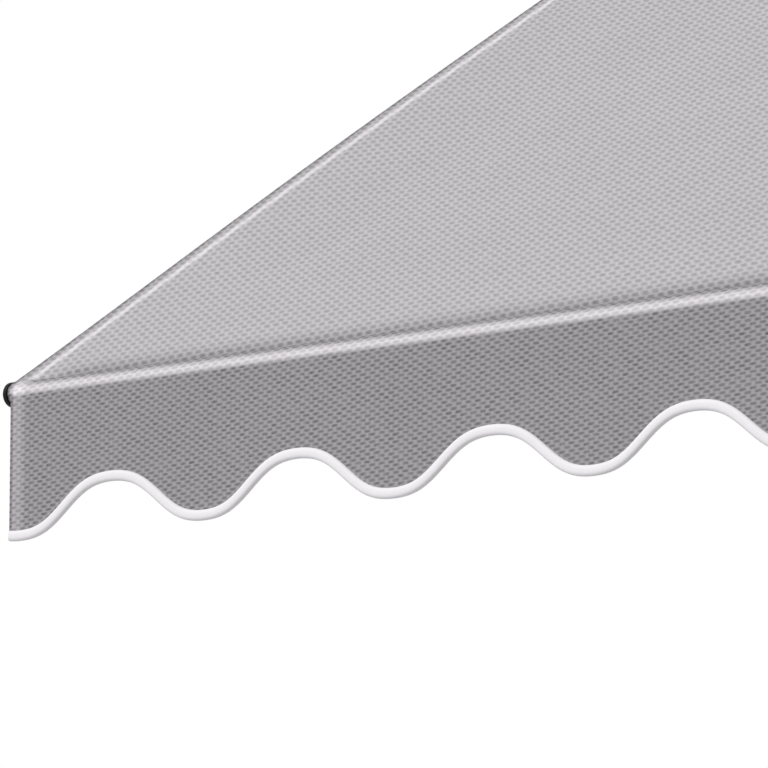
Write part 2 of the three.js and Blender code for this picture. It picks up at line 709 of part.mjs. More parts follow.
// The wavy line in the valance's plane, moved off by a distance along its normal.
function waveLine(distance) {
  const turn = (2 * Math.PI) / WAVE_PITCH;
  const count = WAVE_COUNT * WAVE_STEPS;
  const swing = WAVE_HEIGHT / 2 / (1 - WAVE_FLAT);
  return Array.from({ length: count + 1 }, (_, i) => {
    const along = (i / count) * VALANCE_WIDTH;
    const phase = turn * (along - WAVE_INSET);
    const wave = WAVE_FLAT * Math.cos(3 * phase) - Math.cos(phase);
    const z = WAVE_HEIGHT / 2 + swing * wave - VALANCE_DROP;
    const steep = swing * turn * (Math.sin(phase) - 3 * WAVE_FLAT * Math.sin(3 * phase));
    const length = Math.hypot(1, steep);
    return [along - VALANCE_WIDTH / 2 - (distance * steep) / length, z + distance / length];
  });
}

// A sheet in the valance's plane from the wavy line, moved up by a distance, to the rail's axis.
function wavySheet(distance, y0, y1) {
  const edge = waveLine(distance);
  const corners = [[VALANCE_WIDTH / 2, 0], [-VALANCE_WIDTH / 2, 0]];
  return raisedAlongY([...corners, ...edge], y0, y1);
}

// Sleeve round the front rail with the valance hanging from its front.
function valance() {
  const sleeve = turnedAlongX([
    [RAIL_R + GAP, -HALF_CLOTH],
    [SLEEVE_R, -HALF_CLOTH],
    [SLEEVE_R, HALF_CLOTH],
    [RAIL_R + GAP, HALF_CLOTH],
  ]);
  const whole = sleeve.add(wavySheet(BINDING_FOLD, ...VALANCE_Y));
  const notches = [-1, 1].map((side) => {
    const reach = FIST_HALF + FIST_NOTCH;
    const x = [side * SHOULDER_X - reach, side * SHOULDER_X + reach];
    const behind = [-FIST_LAP - FIST_NOTCH, WRIST_TO_RAIL];
    return box(x, behind, [-VALANCE_DROP / 2, FIST_NOTCH / 2])
      .rotate([THREE.MathUtils.radToDeg(SLOPE), 0, 0]);
  });
  const sheetRoom = box(
    [-CLOTH_WIDTH, CLOTH_WIDTH],
    [VALANCE_Y[0] - OVER, VALANCE_Y[1]],
    [-VALANCE_DROP, 0],
  );
  const cut = joined(...notches).subtract(sheetRoom);
  return whole.subtract(cut).translate([0, RAIL_WORLD_Y, RAIL_WORLD_Z]);
}

// Tape folded over the valance's wavy edge.
function binding() {
  const [front, back] = [VALANCE_Y[0] - GAP, VALANCE_Y[1] + GAP];
  const outline = [...waveLine(0), ...waveLine(BINDING_WIDTH).reverse()];
  const band = raisedAlongY(outline, front - TAPE_T, back + TAPE_T);
  const slot = wavySheet(BINDING_FOLD - GAP, front, back);
  return band.subtract(slot).translate([0, RAIL_WORLD_Y, RAIL_WORLD_Z]);
}

// Arms. A link lies along +X from its first pin to its second, and its profile lies to one side
// of the line between the pins, so that both links can fold flat against each other.
function knuckle(link, direction, layers, bore) {
  const { width, height, aside } = link;
  const y = span(aside * ARM_SPLIT, aside * (ARM_SPLIT + width));
  const x = (a, b) => span(direction * a, direction * b);
  const outline = [
    [0, -aside * KNUCKLE_R],
    [direction * (KNUCKLE_SOLID + OVER), aside * ARM_SPLIT],
    [direction * (KNUCKLE_SOLID + OVER), aside * KNUCKLE_R],
    [0, aside * KNUCKLE_R],
  ];
  if (direction * aside < 0) outline.reverse();
  const plates = layers.map(([z0, z1]) =>
    raised(outline, z0, z1).add(rod(KNUCKLE_R, [0, 0, z0], [0, 0, z1], ROUND)),
  );
  const half = height / 2;
  const fit = ARM_WALL + GAP;
  const block = box(x(KNUCKLE_SOLID, KNUCKLE_LENGTH), y, [-half, half]);
  const spigot = box(
    x(KNUCKLE_LENGTH - OVER, KNUCKLE_LENGTH + SPIGOT),
    [y[0] + fit, y[1] - fit],
    [fit - half, half - fit],
  );
  const hole = rod(bore, [0, 0, -height], [0, 0, height]);
  return joined(...plates, block, spigot).subtract(hole);
}

function profile({ width, height, aside }) {
  const middleY = aside * (ARM_SPLIT + width / 2);
  const along = [KNUCKLE_LENGTH + GAP, LINK - KNUCKLE_LENGTH - GAP];
  const section = (half, rise, reach) =>
    box([along[0] - reach, along[1] + reach], [middleY - half, middleY + half], [-rise, rise]);
  return section(width / 2, height / 2, 0)
    .subtract(section(width / 2 - ARM_WALL, height / 2 - ARM_WALL, OVER));
}

function forkLayers(inside, outside) {
  return [[inside, outside], [-outside, -inside]];
}

// Coil spring and its cable, which pull the elbow open from inside the upper arm.
function armSpring({ width, aside }) {
  const start = KNUCKLE_LENGTH + SPIGOT + GAP;
  const end = LINK - KNUCKLE_LENGTH - SPIGOT - GAP;
  const pitch = SPRING_LENGTH / SPRING_TURNS;
  const coils = Array.from({ length: SPRING_TURNS }, (_, i) => start + i * pitch).flatMap((x) => [
    [SPRING_R - SPRING_WIRE, x],
    [SPRING_R, x + pitch / 2],
  ]);
  const last = start + SPRING_LENGTH;
  const outline = [
    [0, start],
    ...coils,
    [SPRING_R - SPRING_WIRE, last],
    [CABLE_R, last],
    [CABLE_R, end],
    [0, end],
  ];
  return turnedAlongX(outline, SMALL_ROUND).translate([0, aside * (ARM_SPLIT + width / 2), 0]);
}

// Bracket that saddles the bar and forks round the shoulder knuckle, with the pin pressed in.
function shoulderBracket(side) {
  const pinX = side * SHOULDER_X;
  const x = span(pinX - side * BRACKET_PLATE_R, pinX + side * BRACKET_OUT);
  const front = BAR_Y - BAR / 2 - GAP;
  const grip = BAR / 2 + GAP + SADDLE_FLANGE;
  const saddle = box(
    x,
    [front - SADDLE_WALL, BAR_Y + SADDLE_LAP],
    [BAR_HEIGHT - grip, BAR_HEIGHT + grip],
  );
  const half = ARM_HEIGHT / 2;
  const rear = SHOULDER_Y + BRACKET_PLATE_R;
  const web = raisedAlongX([
    pointFromSlope(rear, ARM_Z + half),
    pointFromSlope(rear, ARM_Z - half),
    [front, BAR_HEIGHT - grip],
    [front, BAR_HEIGHT + grip],
  ], pinX - BRACKET_PLATE_R, pinX + BRACKET_PLATE_R);
  const at = (z) => [pinX, SHOULDER_Y, ARM_Z + z];
  const plates = forkLayers(SHOULDER_IN, half).map(([z0, z1]) =>
    rod(BRACKET_PLATE_R, at(z0), at(z1), ROUND).add(
      box(
        [pinX - BRACKET_PLATE_R, pinX + BRACKET_PLATE_R],
        [SHOULDER_Y, rear + OVER],
        [ARM_Z + z0, ARM_Z + z1],
      ),
    ),
  );
  const pin = rod(SHOULDER_PIN_R, at(-half), at(half));
  return joined(saddle, web, fromSlope(joined(...plates, pin))).subtract(barRoom());
}

// Front rail pieces, modelled in the slope group.
function frontTube() {
  return turnedAlongX([
    [RAIL_R - RAIL_WALL, -RAIL_HALF],
    [RAIL_R, -RAIL_HALF],
    [RAIL_R, RAIL_HALF],
    [RAIL_R - RAIL_WALL, RAIL_HALF],
  ]).translate([0, -CLOTH_LENGTH, RAIL_Z]);
}

function railCap(side) {
  const plug = RAIL_R - RAIL_WALL - GAP;
  const face = RAIL_HALF + GAP;
  const rim = face + RAIL_CAP_T;
  const dome = [0.8, 0.5, 0].map((share) => [
    RAIL_CAP_R * share,
    rim + RAIL_CAP_DOME * Math.sqrt(1 - share ** 2),
  ]);
  const cap = turnedAlongX([
    [0, RAIL_HALF - RAIL_CAP_PLUG],
    [plug, RAIL_HALF - RAIL_CAP_PLUG],
    [plug, face],
    [RAIL_CAP_R, face],
    [RAIL_CAP_R, rim],
    ...dome,
  ]);
  return (side > 0 ? cap : cap.rotate([0, 180, 0])).translate([0, -CLOTH_LENGTH, RAIL_Z]);
}

// Fist that cradles the rail from behind and forks round the wrist knuckle, with its pin.
function fist(side) {
  const pinX = side * SHOULDER_X;
  const outside = FORK_IN + FIST_PLATE_T;
  const at = (z) => [pinX, WRIST_Y, ARM_Z + z];
  const x = [pinX - FIST_HALF, pinX + FIST_HALF];
  const blockRear = WRIST_Y - KNUCKLE_R - FIST_ROOM;
  const plates = forkLayers(FORK_IN, outside).map(([z0, z1]) =>
    rod(KNUCKLE_R, at(z0), at(z1), ROUND)
      .add(box(x, [blockRear - OVER, WRIST_Y], [ARM_Z + z0, ARM_Z + z1])),
  );
  const block = box(x, [-CLOTH_LENGTH - FIST_LAP, blockRear], [ARM_Z - outside, RAIL_Z]);
  const cradle = rod(
    RAIL_R + GAP,
    [x[0] - OVER, -CLOTH_LENGTH, RAIL_Z],
    [x[1] + OVER, -CLOTH_LENGTH, RAIL_Z],
    ROUND,
  );
  const pin = rod(WRIST_PIN_R, at(-outside), at(outside));
  return joined(...plates, block, pin).subtract(cradle);
}

// Crank, modelled about the right post's axis.
class Route extends THREE.Curve {
  constructor(points) {
    super();
    this.points = points;
  }

  getPoint(t) {
    const last = this.points.length - 1;
    const place = Math.min(Math.max(t, 0), 1) * last;
    const i = Math.min(Math.floor(place), last - 1);
    return this.points[i].clone().lerp(this.points[i + 1], place - i);
  }

  getUtoTmapping(u) {
    return u;
  }
}

// Corners [x, z] joined by straights, each inner corner rounded by its bend radius.
function rodAlongCorners(corners, bends) {
  const flat = corners.map(([x, z]) => new THREE.Vector3(x, 0, z));
  const points = flat.slice(1, -1).flatMap((corner, i) => {
    const back = flat[i].clone().sub(corner).normalize();
    const ahead = flat[i + 2].clone().sub(corner).normalize();
    const centre = corner.clone().addScaledVector(back, bends[i]).addScaledVector(ahead, bends[i]);
    return Array.from({ length: BEND_STEPS + 1 }, (_, step) => {
      const angle = (step / BEND_STEPS) * (Math.PI / 2);
      return centre.clone()
        .addScaledVector(ahead, -bends[i] * Math.cos(angle))
        .addScaledVector(back, -bends[i] * Math.sin(angle));
    });
  });
  const all = [flat[0], ...points, flat.at(-1)];
  const route = new Route(all.filter((p, i) => i === 0 || p.distanceTo(all[i - 1]) > GAP));
  const section = new THREE.Shape().absarc(0, 0, CRANK_R, 0, 2 * Math.PI);
  const geometry = new THREE.ExtrudeGeometry(section, {
    steps: route.points.length - 1,
    extrudePath: route,
    curveSegments: SMALL_ROUND / 2,
  });
  return solidOf(geometry);
}

function crankRod() {
  const x = CRANK_ASIDE;
  const hookX = x + 2 * HOOK_BEND;
  const armX = x + CRANK_ARM;
  const bent = rodAlongCorners(
    [
      [hookX, CRANK_TOP - HOOK_BEND - HOOK_LIP],
      [hookX, CRANK_TOP],
      [x, CRANK_TOP],
      [x, CRANK_ELBOW],
      [armX, CRANK_ELBOW],
      [armX, CRANK_BOTTOM],
    ],
    [HOOK_BEND, HOOK_BEND, CRANK_BEND, CRANK_BEND],
  );
  const button = [CRANK_BOTTOM, CRANK_BOTTOM + CRANK_BUTTON_T].map((z) => [armX, 0, z]);
  return bent.add(rod(CRANK_BUTTON_R, ...button));
}

function crankGrip() {
  const bore = CRANK_R + GAP;
  return turned([
    [bore, GRIP_LOW],
    [GRIP_R - GRIP_CHAMFER, GRIP_LOW],
    [GRIP_R, GRIP_LOW + GRIP_CHAMFER],
    [GRIP_R - GRIP_WAIST, (GRIP_LOW + GRIP_HIGH) / 2],
    [GRIP_R, GRIP_HIGH - GRIP_CHAMFER],
    [GRIP_R - GRIP_CHAMFER, GRIP_HIGH],
    [bore, GRIP_HIGH],
  ], SMALL_ROUND).translate([CRANK_ASIDE + CRANK_ARM, 0, 0]);
}

// Clip that rings the post and snaps round the crank.
function crankClip(z) {
  const low = z - CLIP_HEIGHT / 2;
  const high = z + CLIP_HEIGHT / 2;
  const upright = (radius, x) => rod(radius, [x, 0, low], [x, 0, high], ROUND);
  const through = (radius, x) => rod(radius, [x, 0, low - OVER], [x, 0, high + OVER], ROUND);
  const ring = upright(POST_R + GAP + CLIP_WALL, 0);
  const jaw = upright(CRANK_R + GAP + CLIP_JAW_WALL, CRANK_ASIDE);
  const web = box([POST_R, CRANK_ASIDE], [-CLIP_WALL, CLIP_WALL], [low, high]);
  const mouth = box(
    [CRANK_ASIDE, CRANK_ASIDE + 2 * CRANK_R + CLIP_MOUTH],
    [-CLIP_MOUTH / 2, CLIP_MOUTH / 2],
    [low - OVER, high + OVER],
  );
  return joined(ring, jaw, web)
    .subtract(through(POST_R + GAP, 0))
    .subtract(through(CRANK_R + GAP, CRANK_ASIDE))
    .subtract(mouth);
}

// Assembly
for (const [side, word] of [[-1, "left"], [1, "right"]]) {
  const post = new THREE.Group();
  post.position.x = side * POST_X;
  middle.add(post);
  addPiece(`${word}_lower_tube`, lowerTube(side), COAT, post);
  addPiece(`${word}_foot`, foot(), RUBBER, post);
  addPiece(`${word}_guide_bush`, guideBush(side), PLASTIC, post);
  addPiece(`${word}_clamp_knob`, clampKnob(side), PLASTIC, post);
  addPiece(`${word}_upper_tube`, upperTube(), COAT, post);
  addPiece(`${word}_jack_nut`, jackNut(), PLASTIC, post);
  addPiece(`${word}_jack_screw`, jackScrew(), ZINC, post);
  addPiece(`${word}_ceiling_pad`, ceilingPad(), RUBBER, post);
  addPiece(`${word}_post_clamp`, postClamp(), COAT, post);
  addPiece(`${word}_bar_holder`, barHolder(), COAT, post);
  addPiece(`${word}_tilt_bolt`, tiltBolt(), ZINC, post);
  addPiece(`${word}_end_plate`, endPlate(side), COAT);
  addPiece(`${word}_shoulder_bracket`, shoulderBracket(side), COAT);

  const upper = { width: ARM_WIDTH, height: ARM_HEIGHT, aside: -side };
  const fore = { width: FOREARM_WIDTH, height: FOREARM_HEIGHT, aside: -side };
  const shoulder = new THREE.Group();
  shoulder.position.set(side * SHOULDER_X, SHOULDER_Y, ARM_Z);
  shoulder.rotation.z = -Math.PI / 2 - side * ARM_REST;
  slope.add(shoulder);
  const elbow = new THREE.Group();
  elbow.position.x = LINK;
  elbow.rotation.z = 2 * side * ARM_REST;
  shoulder.add(elbow);
  const tongue = [[-FORK_IN + GAP, FORK_IN - GAP]];
  const shoulderTongue = [[GAP - SHOULDER_IN, SHOULDER_IN - GAP]];
  const fork = forkLayers(FORK_IN, ARM_HEIGHT / 2);
  const elbowPin = rod(ELBOW_PIN_R, [0, 0, -ARM_HEIGHT / 2], [0, 0, ARM_HEIGHT / 2]);
  const elbowFork = knuckle(upper, -1, fork, ELBOW_PIN_R / 2).add(elbowPin);
  const wristKnuckle = knuckle(fore, -1, tongue, WRIST_PIN_R + GAP);
  addPiece(`${word}_shoulder_knuckle`,
    knuckle(upper, 1, shoulderTongue, SHOULDER_PIN_R + GAP), COAT, shoulder);
  addPiece(`${word}_upper_arm`, profile(upper), COAT, shoulder);
  addPiece(`${word}_arm_spring`, armSpring(upper), ZINC, shoulder);
  addPiece(`${word}_elbow_fork`, elbowFork.translate([LINK, 0, 0]), COAT, shoulder);
  addPiece(`${word}_elbow_tongue`, knuckle(fore, 1, tongue, ELBOW_PIN_R + GAP), COAT, elbow);
  addPiece(`${word}_forearm`, profile(fore), COAT, elbow);
  addPiece(`${word}_wrist_knuckle`, wristKnuckle.translate([LINK, 0, 0]), COAT, elbow);
  addPiece(`${word}_fist`, fist(side), COAT, slope);
  addPiece(`${word}_rail_cap`, railCap(side), PLASTIC, slope);
}

addPiece("torsion_bar", torsionBar(), COAT);
addPiece("gear_housing", gearHousing(), PLASTIC);
addPiece("worm_wheel", wormWheel(), ZINC);
addPiece("gear_eye", gearEye(), ZINC);
addPiece("roller_tube", rollerTube(), ALLOY, slope);
addPiece("roller_idler_cap", rollerCap(-1, PLATE_OUT), PLASTIC, slope);
addPiece("roller_gear_cap", rollerCap(1, GEAR_OUT - GEAR_WALL - GAP), PLASTIC, slope);
addPiece("wound_cloth", woundCloth(), CLOTH, slope);
addPiece("canopy", canopy(), CLOTH, slope);
addPiece("front_tube", frontTube(), COAT, slope);
addPiece("valance", valance(), DARK_CLOTH);
addPiece("valance_binding", binding(), TAPE);

const rightPost = new THREE.Group();
rightPost.position.x = POST_X;
middle.add(rightPost);
addPiece("crank_rod", crankRod(), COAT, rightPost);
addPiece("crank_grip", crankGrip(), PLASTIC, rightPost);
for (const [word, z] of Object.entries(CLIP_HEIGHTS)) {
  addPiece(`crank_clip_${word}`, crankClip(z), PLASTIC, rightPost);
}

export default clampAwning;
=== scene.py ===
"""Looks of a clamp awning on two telescopic posts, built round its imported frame."""

import logging
import math
from collections.abc import Callable, Iterator, Sequence
from contextlib import contextmanager
from dataclasses import dataclass
from enum import Enum

import bpy
from mathutils import Matrix, Vector


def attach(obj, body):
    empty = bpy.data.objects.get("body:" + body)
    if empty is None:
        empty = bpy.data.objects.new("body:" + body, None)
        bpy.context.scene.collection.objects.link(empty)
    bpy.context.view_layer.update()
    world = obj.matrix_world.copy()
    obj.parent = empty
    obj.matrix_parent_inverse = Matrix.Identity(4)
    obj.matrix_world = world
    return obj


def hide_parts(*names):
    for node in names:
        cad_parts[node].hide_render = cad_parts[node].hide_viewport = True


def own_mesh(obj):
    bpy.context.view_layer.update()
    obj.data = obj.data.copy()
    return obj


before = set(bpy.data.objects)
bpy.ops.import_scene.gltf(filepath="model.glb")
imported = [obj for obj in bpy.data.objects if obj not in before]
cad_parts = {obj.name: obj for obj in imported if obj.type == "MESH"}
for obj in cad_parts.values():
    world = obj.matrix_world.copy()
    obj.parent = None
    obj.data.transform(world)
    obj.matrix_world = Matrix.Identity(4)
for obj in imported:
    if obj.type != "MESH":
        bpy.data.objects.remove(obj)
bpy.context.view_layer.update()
LOG = logging.getLogger("clamp_awning")

MM = 0.001
CLOTH_HALF = 0.996
CLOTH_SEAM = 1.4935
VALANCE_INSET = 6 * MM
POST_SPAN = 1.48
ALONG = Vector((1, 0, 0))
UP = Vector((0, 0, 1))

Colour = tuple[float, float, float, float]
Outline = Sequence[tuple[float, float]]
Laid = tuple[Vector, tuple[float, float]]


class Side(Enum):
    """The two ends of the awning, seen from the front."""

    LEFT = "left"
    RIGHT = "right"

    @property
    def outward(self) -> Vector:
        """Direction that leads away from the awning's middle."""
        return -ALONG if self is Side.LEFT else ALONG

    @property
    def post_x(self) -> float:
        """X of this side's post axis, in metres."""
        return 0.0 if self is Side.LEFT else POST_SPAN

    def node(self, part: str) -> str:
        """Name of this side's node or body."""
        return f"{self.value}_{part}"


class Slot(Enum):
    """The record's material slots."""

    CLOTH = "cloth"
    VALANCE_CLOTH = "valance_cloth"
    TAPE = "tape"
    COATED_STEEL = "coated_steel"
    COATED_ALLOY = "coated_alloy"
    BARE_ALLOY = "bare_alloy"
    ZINC_STEEL = "zinc_steel"
    BLACK_PLASTIC = "black_plastic"
    BLACK_RUBBER = "black_rubber"


class Value:
    """A number that changes over a surface: a socket with arithmetic."""

    def __init__(self, graph: "Graph", socket: bpy.types.NodeSocket) -> None:
        """Hold a socket and the graph that it belongs to."""
        self.graph = graph
        self.socket = socket

    def __add__(self, other: "Value | float") -> "Value":
        """Sum of two values."""
        return self.graph.maths("ADD", self, other)

    __radd__ = __add__

    def __sub__(self, other: "Value | float") -> "Value":
        """Difference of two values."""
        return self.graph.maths("SUBTRACT", self, other)

    def __rsub__(self, other: "Value | float") -> "Value":
        """Difference with this value taken away."""
        return self.graph.maths("SUBTRACT", other, self)

    def __mul__(self, other: "Value | float") -> "Value":
        """Product of two values."""
        return self.graph.maths("MULTIPLY", self, other)

    __rmul__ = __mul__

    def __truediv__(self, other: "Value | float") -> "Value":
        """Quotient of two values."""
        return self.graph.maths("DIVIDE", self, other)

    def __rtruediv__(self, other: "Value | float") -> "Value":
        """Quotient with this value below."""
        return self.graph.maths("DIVIDE", other, self)

    def floor(self) -> "Value":
        """Whole part."""
        return self.graph.maths("FLOOR", self)

    def fract(self) -> "Value":
        """Part after the whole number."""
        return self.graph.maths("FRACT", self)

    def size(self) -> "Value":
        """Value without its sign."""
        return self.graph.maths("ABSOLUTE", self)

    def least(self, other: "Value | float") -> "Value":
        """Smaller of two values."""
        return self.graph.maths("MINIMUM", self, other)

    def most(self, other: "Value | float") -> "Value":
        """Larger of two values."""
        return self.graph.maths("MAXIMUM", self, other)

    def smooth(self, low: float, high: float) -> "Value":
        """Step from 0 to 1 with soft ends.

        Args:
            low: Where the step starts.
            high: Where it ends.

        Returns:
            The step.
        """
        settings = {"interpolation_type": "SMOOTHSTEP"}
        inputs = {"Value": self, "From Min": low, "From Max": high}
        made = self.graph.node("ShaderNodeMapRange", settings, inputs)
        return Value(self.graph, made.outputs[0])


class Graph:
    """The nodes of one material or of the world."""

    def __init__(self, owner: bpy.types.Material | bpy.types.World) -> None:
        """Start an empty node tree on its owner.

        Args:
            owner: The material or world whose nodes these are.
        """
        owner.use_nodes = True
        self.tree = owner.node_tree
        self.tree.nodes.clear()

    def node(
        self,
        kind: str,
        settings: dict[str, object] | None = None,
        inputs: dict[str | int, object] | None = None,
    ) -> bpy.types.Node:
        """Add one node.

        Args:
            kind: The node's type.
            settings: What is set on the node first; stops are those of a ramp.
            inputs: Values or links of its sockets, by name or by number.

        Returns:
            The new node.
        """
        made = self.tree.nodes.new(kind)
        for key, value in (settings or {}).items():
            if key == "stops":
                self._stops(made.color_ramp.elements, value)
            else:
                setattr(made, key, value)
        for key, value in (inputs or {}).items():
            if isinstance(key, int):
                socket = made.inputs[key]
            else:
                socket = next(s for s in made.inputs if s.name == key and s.enabled)
            if isinstance(value, Value):
                value = value.socket
            if isinstance(value, bpy.types.NodeSocket):
                self.tree.links.new(value, socket)
            else:
                socket.default_value = value
        return made

    @staticmethod
    def _stops(elements: bpy.types.ColorRampElements, stops: Outline) -> None:
        """Set a ramp's stops.

        Args:
            elements: The ramp's elements.
            stops: Place and grey level of each stop.
        """
        while len(elements) < len(stops):
            elements.new(1.0)
        for element, (place, level) in zip(elements, stops):
            element.position = place
            element.color = (level, level, level, 1.0)

    def maths(self, operation: str, *terms: "Value | float") -> Value:
        """Add a Math node and return its result."""
        made = self.node("ShaderNodeMath", {"operation": operation}, dict(enumerate(terms)))
        return Value(self, made.outputs[0])

    def parts(self, vector: bpy.types.NodeSocket) -> list[Value]:
        """X, Y and Z of a vector."""
        made = self.node("ShaderNodeSeparateXYZ", None, {0: vector})
        return [Value(self, part) for part in made.outputs]

    def flat(self) -> tuple[Value, Value]:
        """The cloth's own flat coordinates, in metres."""
        u, v, _ = self.parts(self.node("ShaderNodeUVMap", {"uv_map": "Flat"}).outputs[0])
        return u, v

    def place(self, stretch: tuple[float, float, float] = (1, 1, 1)) -> bpy.types.NodeSocket:
        """Object coordinates, stretched along the axes."""
        inputs = {"Vector": self.node("ShaderNodeTexCoord").outputs["Object"], "Scale": stretch}
        return self.node("ShaderNodeMapping", None, inputs).outputs[0]

    def joined(self, u: Value, v: Value) -> bpy.types.NodeSocket:
        """A vector made of two values."""
        return self.node("ShaderNodeCombineXYZ", None, {0: u, 1: v}).outputs[0]

    def noise(self, place: bpy.types.NodeSocket, scale: float, detail: float = 2.0) -> Value:
        """Soft noise about 0, from -0.5 to 0.5."""
        inputs = {"Vector": place, "Scale": scale, "Detail": detail}
        return Value(self, self.node("ShaderNodeTexNoise", None, inputs).outputs[0]) - 0.5

    def bands(self, along: Value, stops: Outline) -> Value:
        """Read a tone off a row of (distance, tone) stops.

        Args:
            along: The distance, in metres.
            stops: Distances in rising order, each with its tone.

        Returns:
            The tone at that distance.
        """
        low, high = stops[0][0], stops[-1][0]
        top = max(tone for _, tone in stops)
        shares = [((at - low) / (high - low), tone / top) for at, tone in stops]
        place = (along - low) / (high - low)
        ramp = self.node("ShaderNodeValToRGB", {"stops": shares}, {0: place})
        return Value(self, ramp.outputs[0]) * top

    def mixed(
        self, share: "Value | float", first: object, second: object, blend: str = "MIX"
    ) -> bpy.types.NodeSocket:
        """Mix two colours by a share.

        Args:
            share: How much of the mix is used.
            first: The first colour.
            second: The second colour, or a tone.
            blend: Blender's name of the kind of mix.

        Returns:
            The mixed colour.
        """
        settings = {"data_type": "RGBA", "blend_type": blend}
        made = self.node("ShaderNodeMix", settings, {"Factor": share, "A": first, "B": second})
        return next(s for s in made.outputs if s.enabled)

    def toned(self, colour: object, tone: Value) -> bpy.types.NodeSocket:
        """Multiply a colour by a tone."""
        return self.mixed(1.0, colour, tone, "MULTIPLY")

    def relief(self, height: Value, depth: float) -> bpy.types.NodeSocket:
        """Turn a height from 0 to 1 into a bumped normal of that depth."""
        inputs = {"Height": height, "Distance": depth, "Strength": 1.0}
        return self.node("ShaderNodeBump", None, inputs).outputs[0]

    def surface(self, inputs: dict[str | int, object]) -> None:
        """End the tree in a Principled shader with these inputs."""
        shader = self.node("ShaderNodeBsdfPrincipled", None, inputs)
        self.node("ShaderNodeOutputMaterial", None, {"Surface": shader.outputs[0]})


@dataclass(frozen=True)
class WovenCloth:
    """Solution-dyed awning cloth with a dark weft that shows in short dashes.

    The hem, the fold and the corner are rows of stops of painted light and shade, each a distance in
    metres and the tone there, above 1 a painted highlight and below 1 painted shade. The hem runs in
    from the side edge and the fold along the cloth. Near the side edge, the corner takes the fold's
    place.
    """

    name: str
    ground: Colour
    dash_tone: float
    row: float
    width: float
    hem: Outline
    fold: Outline
    corner: Outline
    corner_reach: float
    corner_share: float = 0.25
    slant: float = 0.0
    skew: float = 0.0
    shift: float = 0.5
    pitch: float = 15.8 * MM
    dash_half: float = 0.31
    dash_rise: float = 0.38
    softness: float = 0.2
    grain_scale: float = 230.0
    patch_scale: float = 55.0
    cloud_scale: float = 7.0
    row_drift: float = 0.35
    row_jitter: float = 0.12
    dash_drift: float = 0.3
    dash_jitter: float = 0.2
    pale_tones: tuple[float, float] = (1.05, 1.45)
    pale_loss: float = 0.5
    deep_tone: float = 0.95
    deep_gain: float = 1.4
    grain_depth: float = 1.2
    patch_depth: float = 0.9
    cloud_tone: float = 0.08
    grain_tone: float = 0.14
    patch_tone: float = 0.06
    relief: float = 0.25 * MM
    grain_relief: float = 0.4
    roughness: float = 0.86
    dash_gloss: float = 0.05
    shine: float = 0.2

    def mark(self, along: Value, half: float) -> Value:
        """Soft mark in the middle of each repeat, with its half width given."""
        return 1 - (along.fract() - 0.5).size().smooth(half - self.softness, half + self.softness)

    def tone(self, graph: Graph, u: Value, v: Value) -> Value:
        """Painted light and shade of the cloth's hems and folds.

        Args:
            graph: The material's nodes.
            u: Distance across the cloth.
            v: Distance along the cloth.

        Returns:
            The tone, which is 1 in the open cloth.
        """
        edge = u.least(self.width - u)
        inside = edge.smooth(self.corner_reach * self.corner_share, self.corner_reach)
        fold = graph.bands(v, self.fold) * inside + graph.bands(v, self.corner) * (1 - inside)
        return graph.bands(edge, self.hem) * fold

    def material(self) -> bpy.types.Material:
        """Build the cloth's material.

        Returns:
            A material that reads the sheet's flat coordinates.
        """
        made = bpy.data.materials.new(self.name)
        graph = Graph(made)
        u, v = graph.flat()
        place = graph.joined(u, v)
        grain = graph.noise(place, self.grain_scale)
        cloud = graph.noise(place, self.cloud_scale)
        patch = graph.noise(place, self.patch_scale)
        line = (v - u * self.skew) / self.row + patch * self.row_drift + grain * self.row_jitter
        column = (u - v * self.slant) / self.pitch + line.floor() * self.shift
        column = column + patch * self.dash_drift + grain * self.dash_jitter
        dash = self.mark(column, self.dash_half) * self.mark(line, self.dash_rise)
        # Painted light and shade of hems and folds; under a painted highlight the dashes lose
        # contrast, in deep painted shade they gain it.
        tone = self.tone(graph, u, v)
        pale = tone.smooth(*self.pale_tones) * self.pale_loss
        deep = (self.deep_tone - tone).most(0.0) * self.deep_gain
        uneven = 1 + grain * self.grain_depth + patch * self.patch_depth
        weave = 1 - dash * ((1 - self.dash_tone) * (1 - pale + deep) * uneven)
        shade = tone * weave * (1 + cloud * self.cloud_tone)
        shade = shade * (1 + grain * self.grain_tone + patch * self.patch_tone)
        graph.surface(
            {
                "Base Color": graph.toned(self.ground, shade),
                "Roughness": self.roughness - dash * self.dash_gloss,
                "Specular IOR Level": self.shine,
                "Normal": graph.relief(1 - dash + grain * self.grain_relief, self.relief),
            }
        )
        return made


@dataclass(frozen=True)
class BindingTape:
    """White satin tape folded over the valance's edge, ribbed across its length, with painted shade
    along its lower fold.
    """

    name: str = "binding_tape"
    colour: Colour = (0.92, 0.9, 0.925, 1.0)
    fold: float = 11.0 * MM
    painted_shade: Outline = ((0.0, 0.7), (2 * MM, 0.74), (4.5 * MM, 0.95), (8 * MM, 1.0))
    rib: float = 1.1 * MM
    rib_tone: float = 0.015
    rib_depth: float = 0.05 * MM
    grain_scale: float = 90.0
    grain_tone: float = 0.05
    grain_rough: float = 0.1
    roughness: float = 0.6
    shine: float = 0.25

    def material(self) -> bpy.types.Material:
        """Build the tape's material.

        Returns:
            A material that reads the tape's flat coordinates.
        """
        made = bpy.data.materials.new(self.name)
        graph = Graph(made)
        u, v = graph.flat()
        rib = ((u / self.rib).fract() - 0.5).size() * 2
        grain = graph.noise(graph.joined(u, v), self.grain_scale)
        # Painted shade: the tape's tone darkens towards its lower fold, where light from above falls
        # short.
        tone = graph.bands((v - self.fold).size(), self.painted_shade)
        tone = tone - rib * self.rib_tone + grain * self.grain_tone
        graph.surface(
            {
                "Base Color": graph.toned(self.colour, tone),
                "Roughness": self.roughness + grain * self.grain_rough,
                "Specular IOR Level": self.shine,
                "Normal": graph.relief(rib, self.rib_depth),
            }
        )
        return made


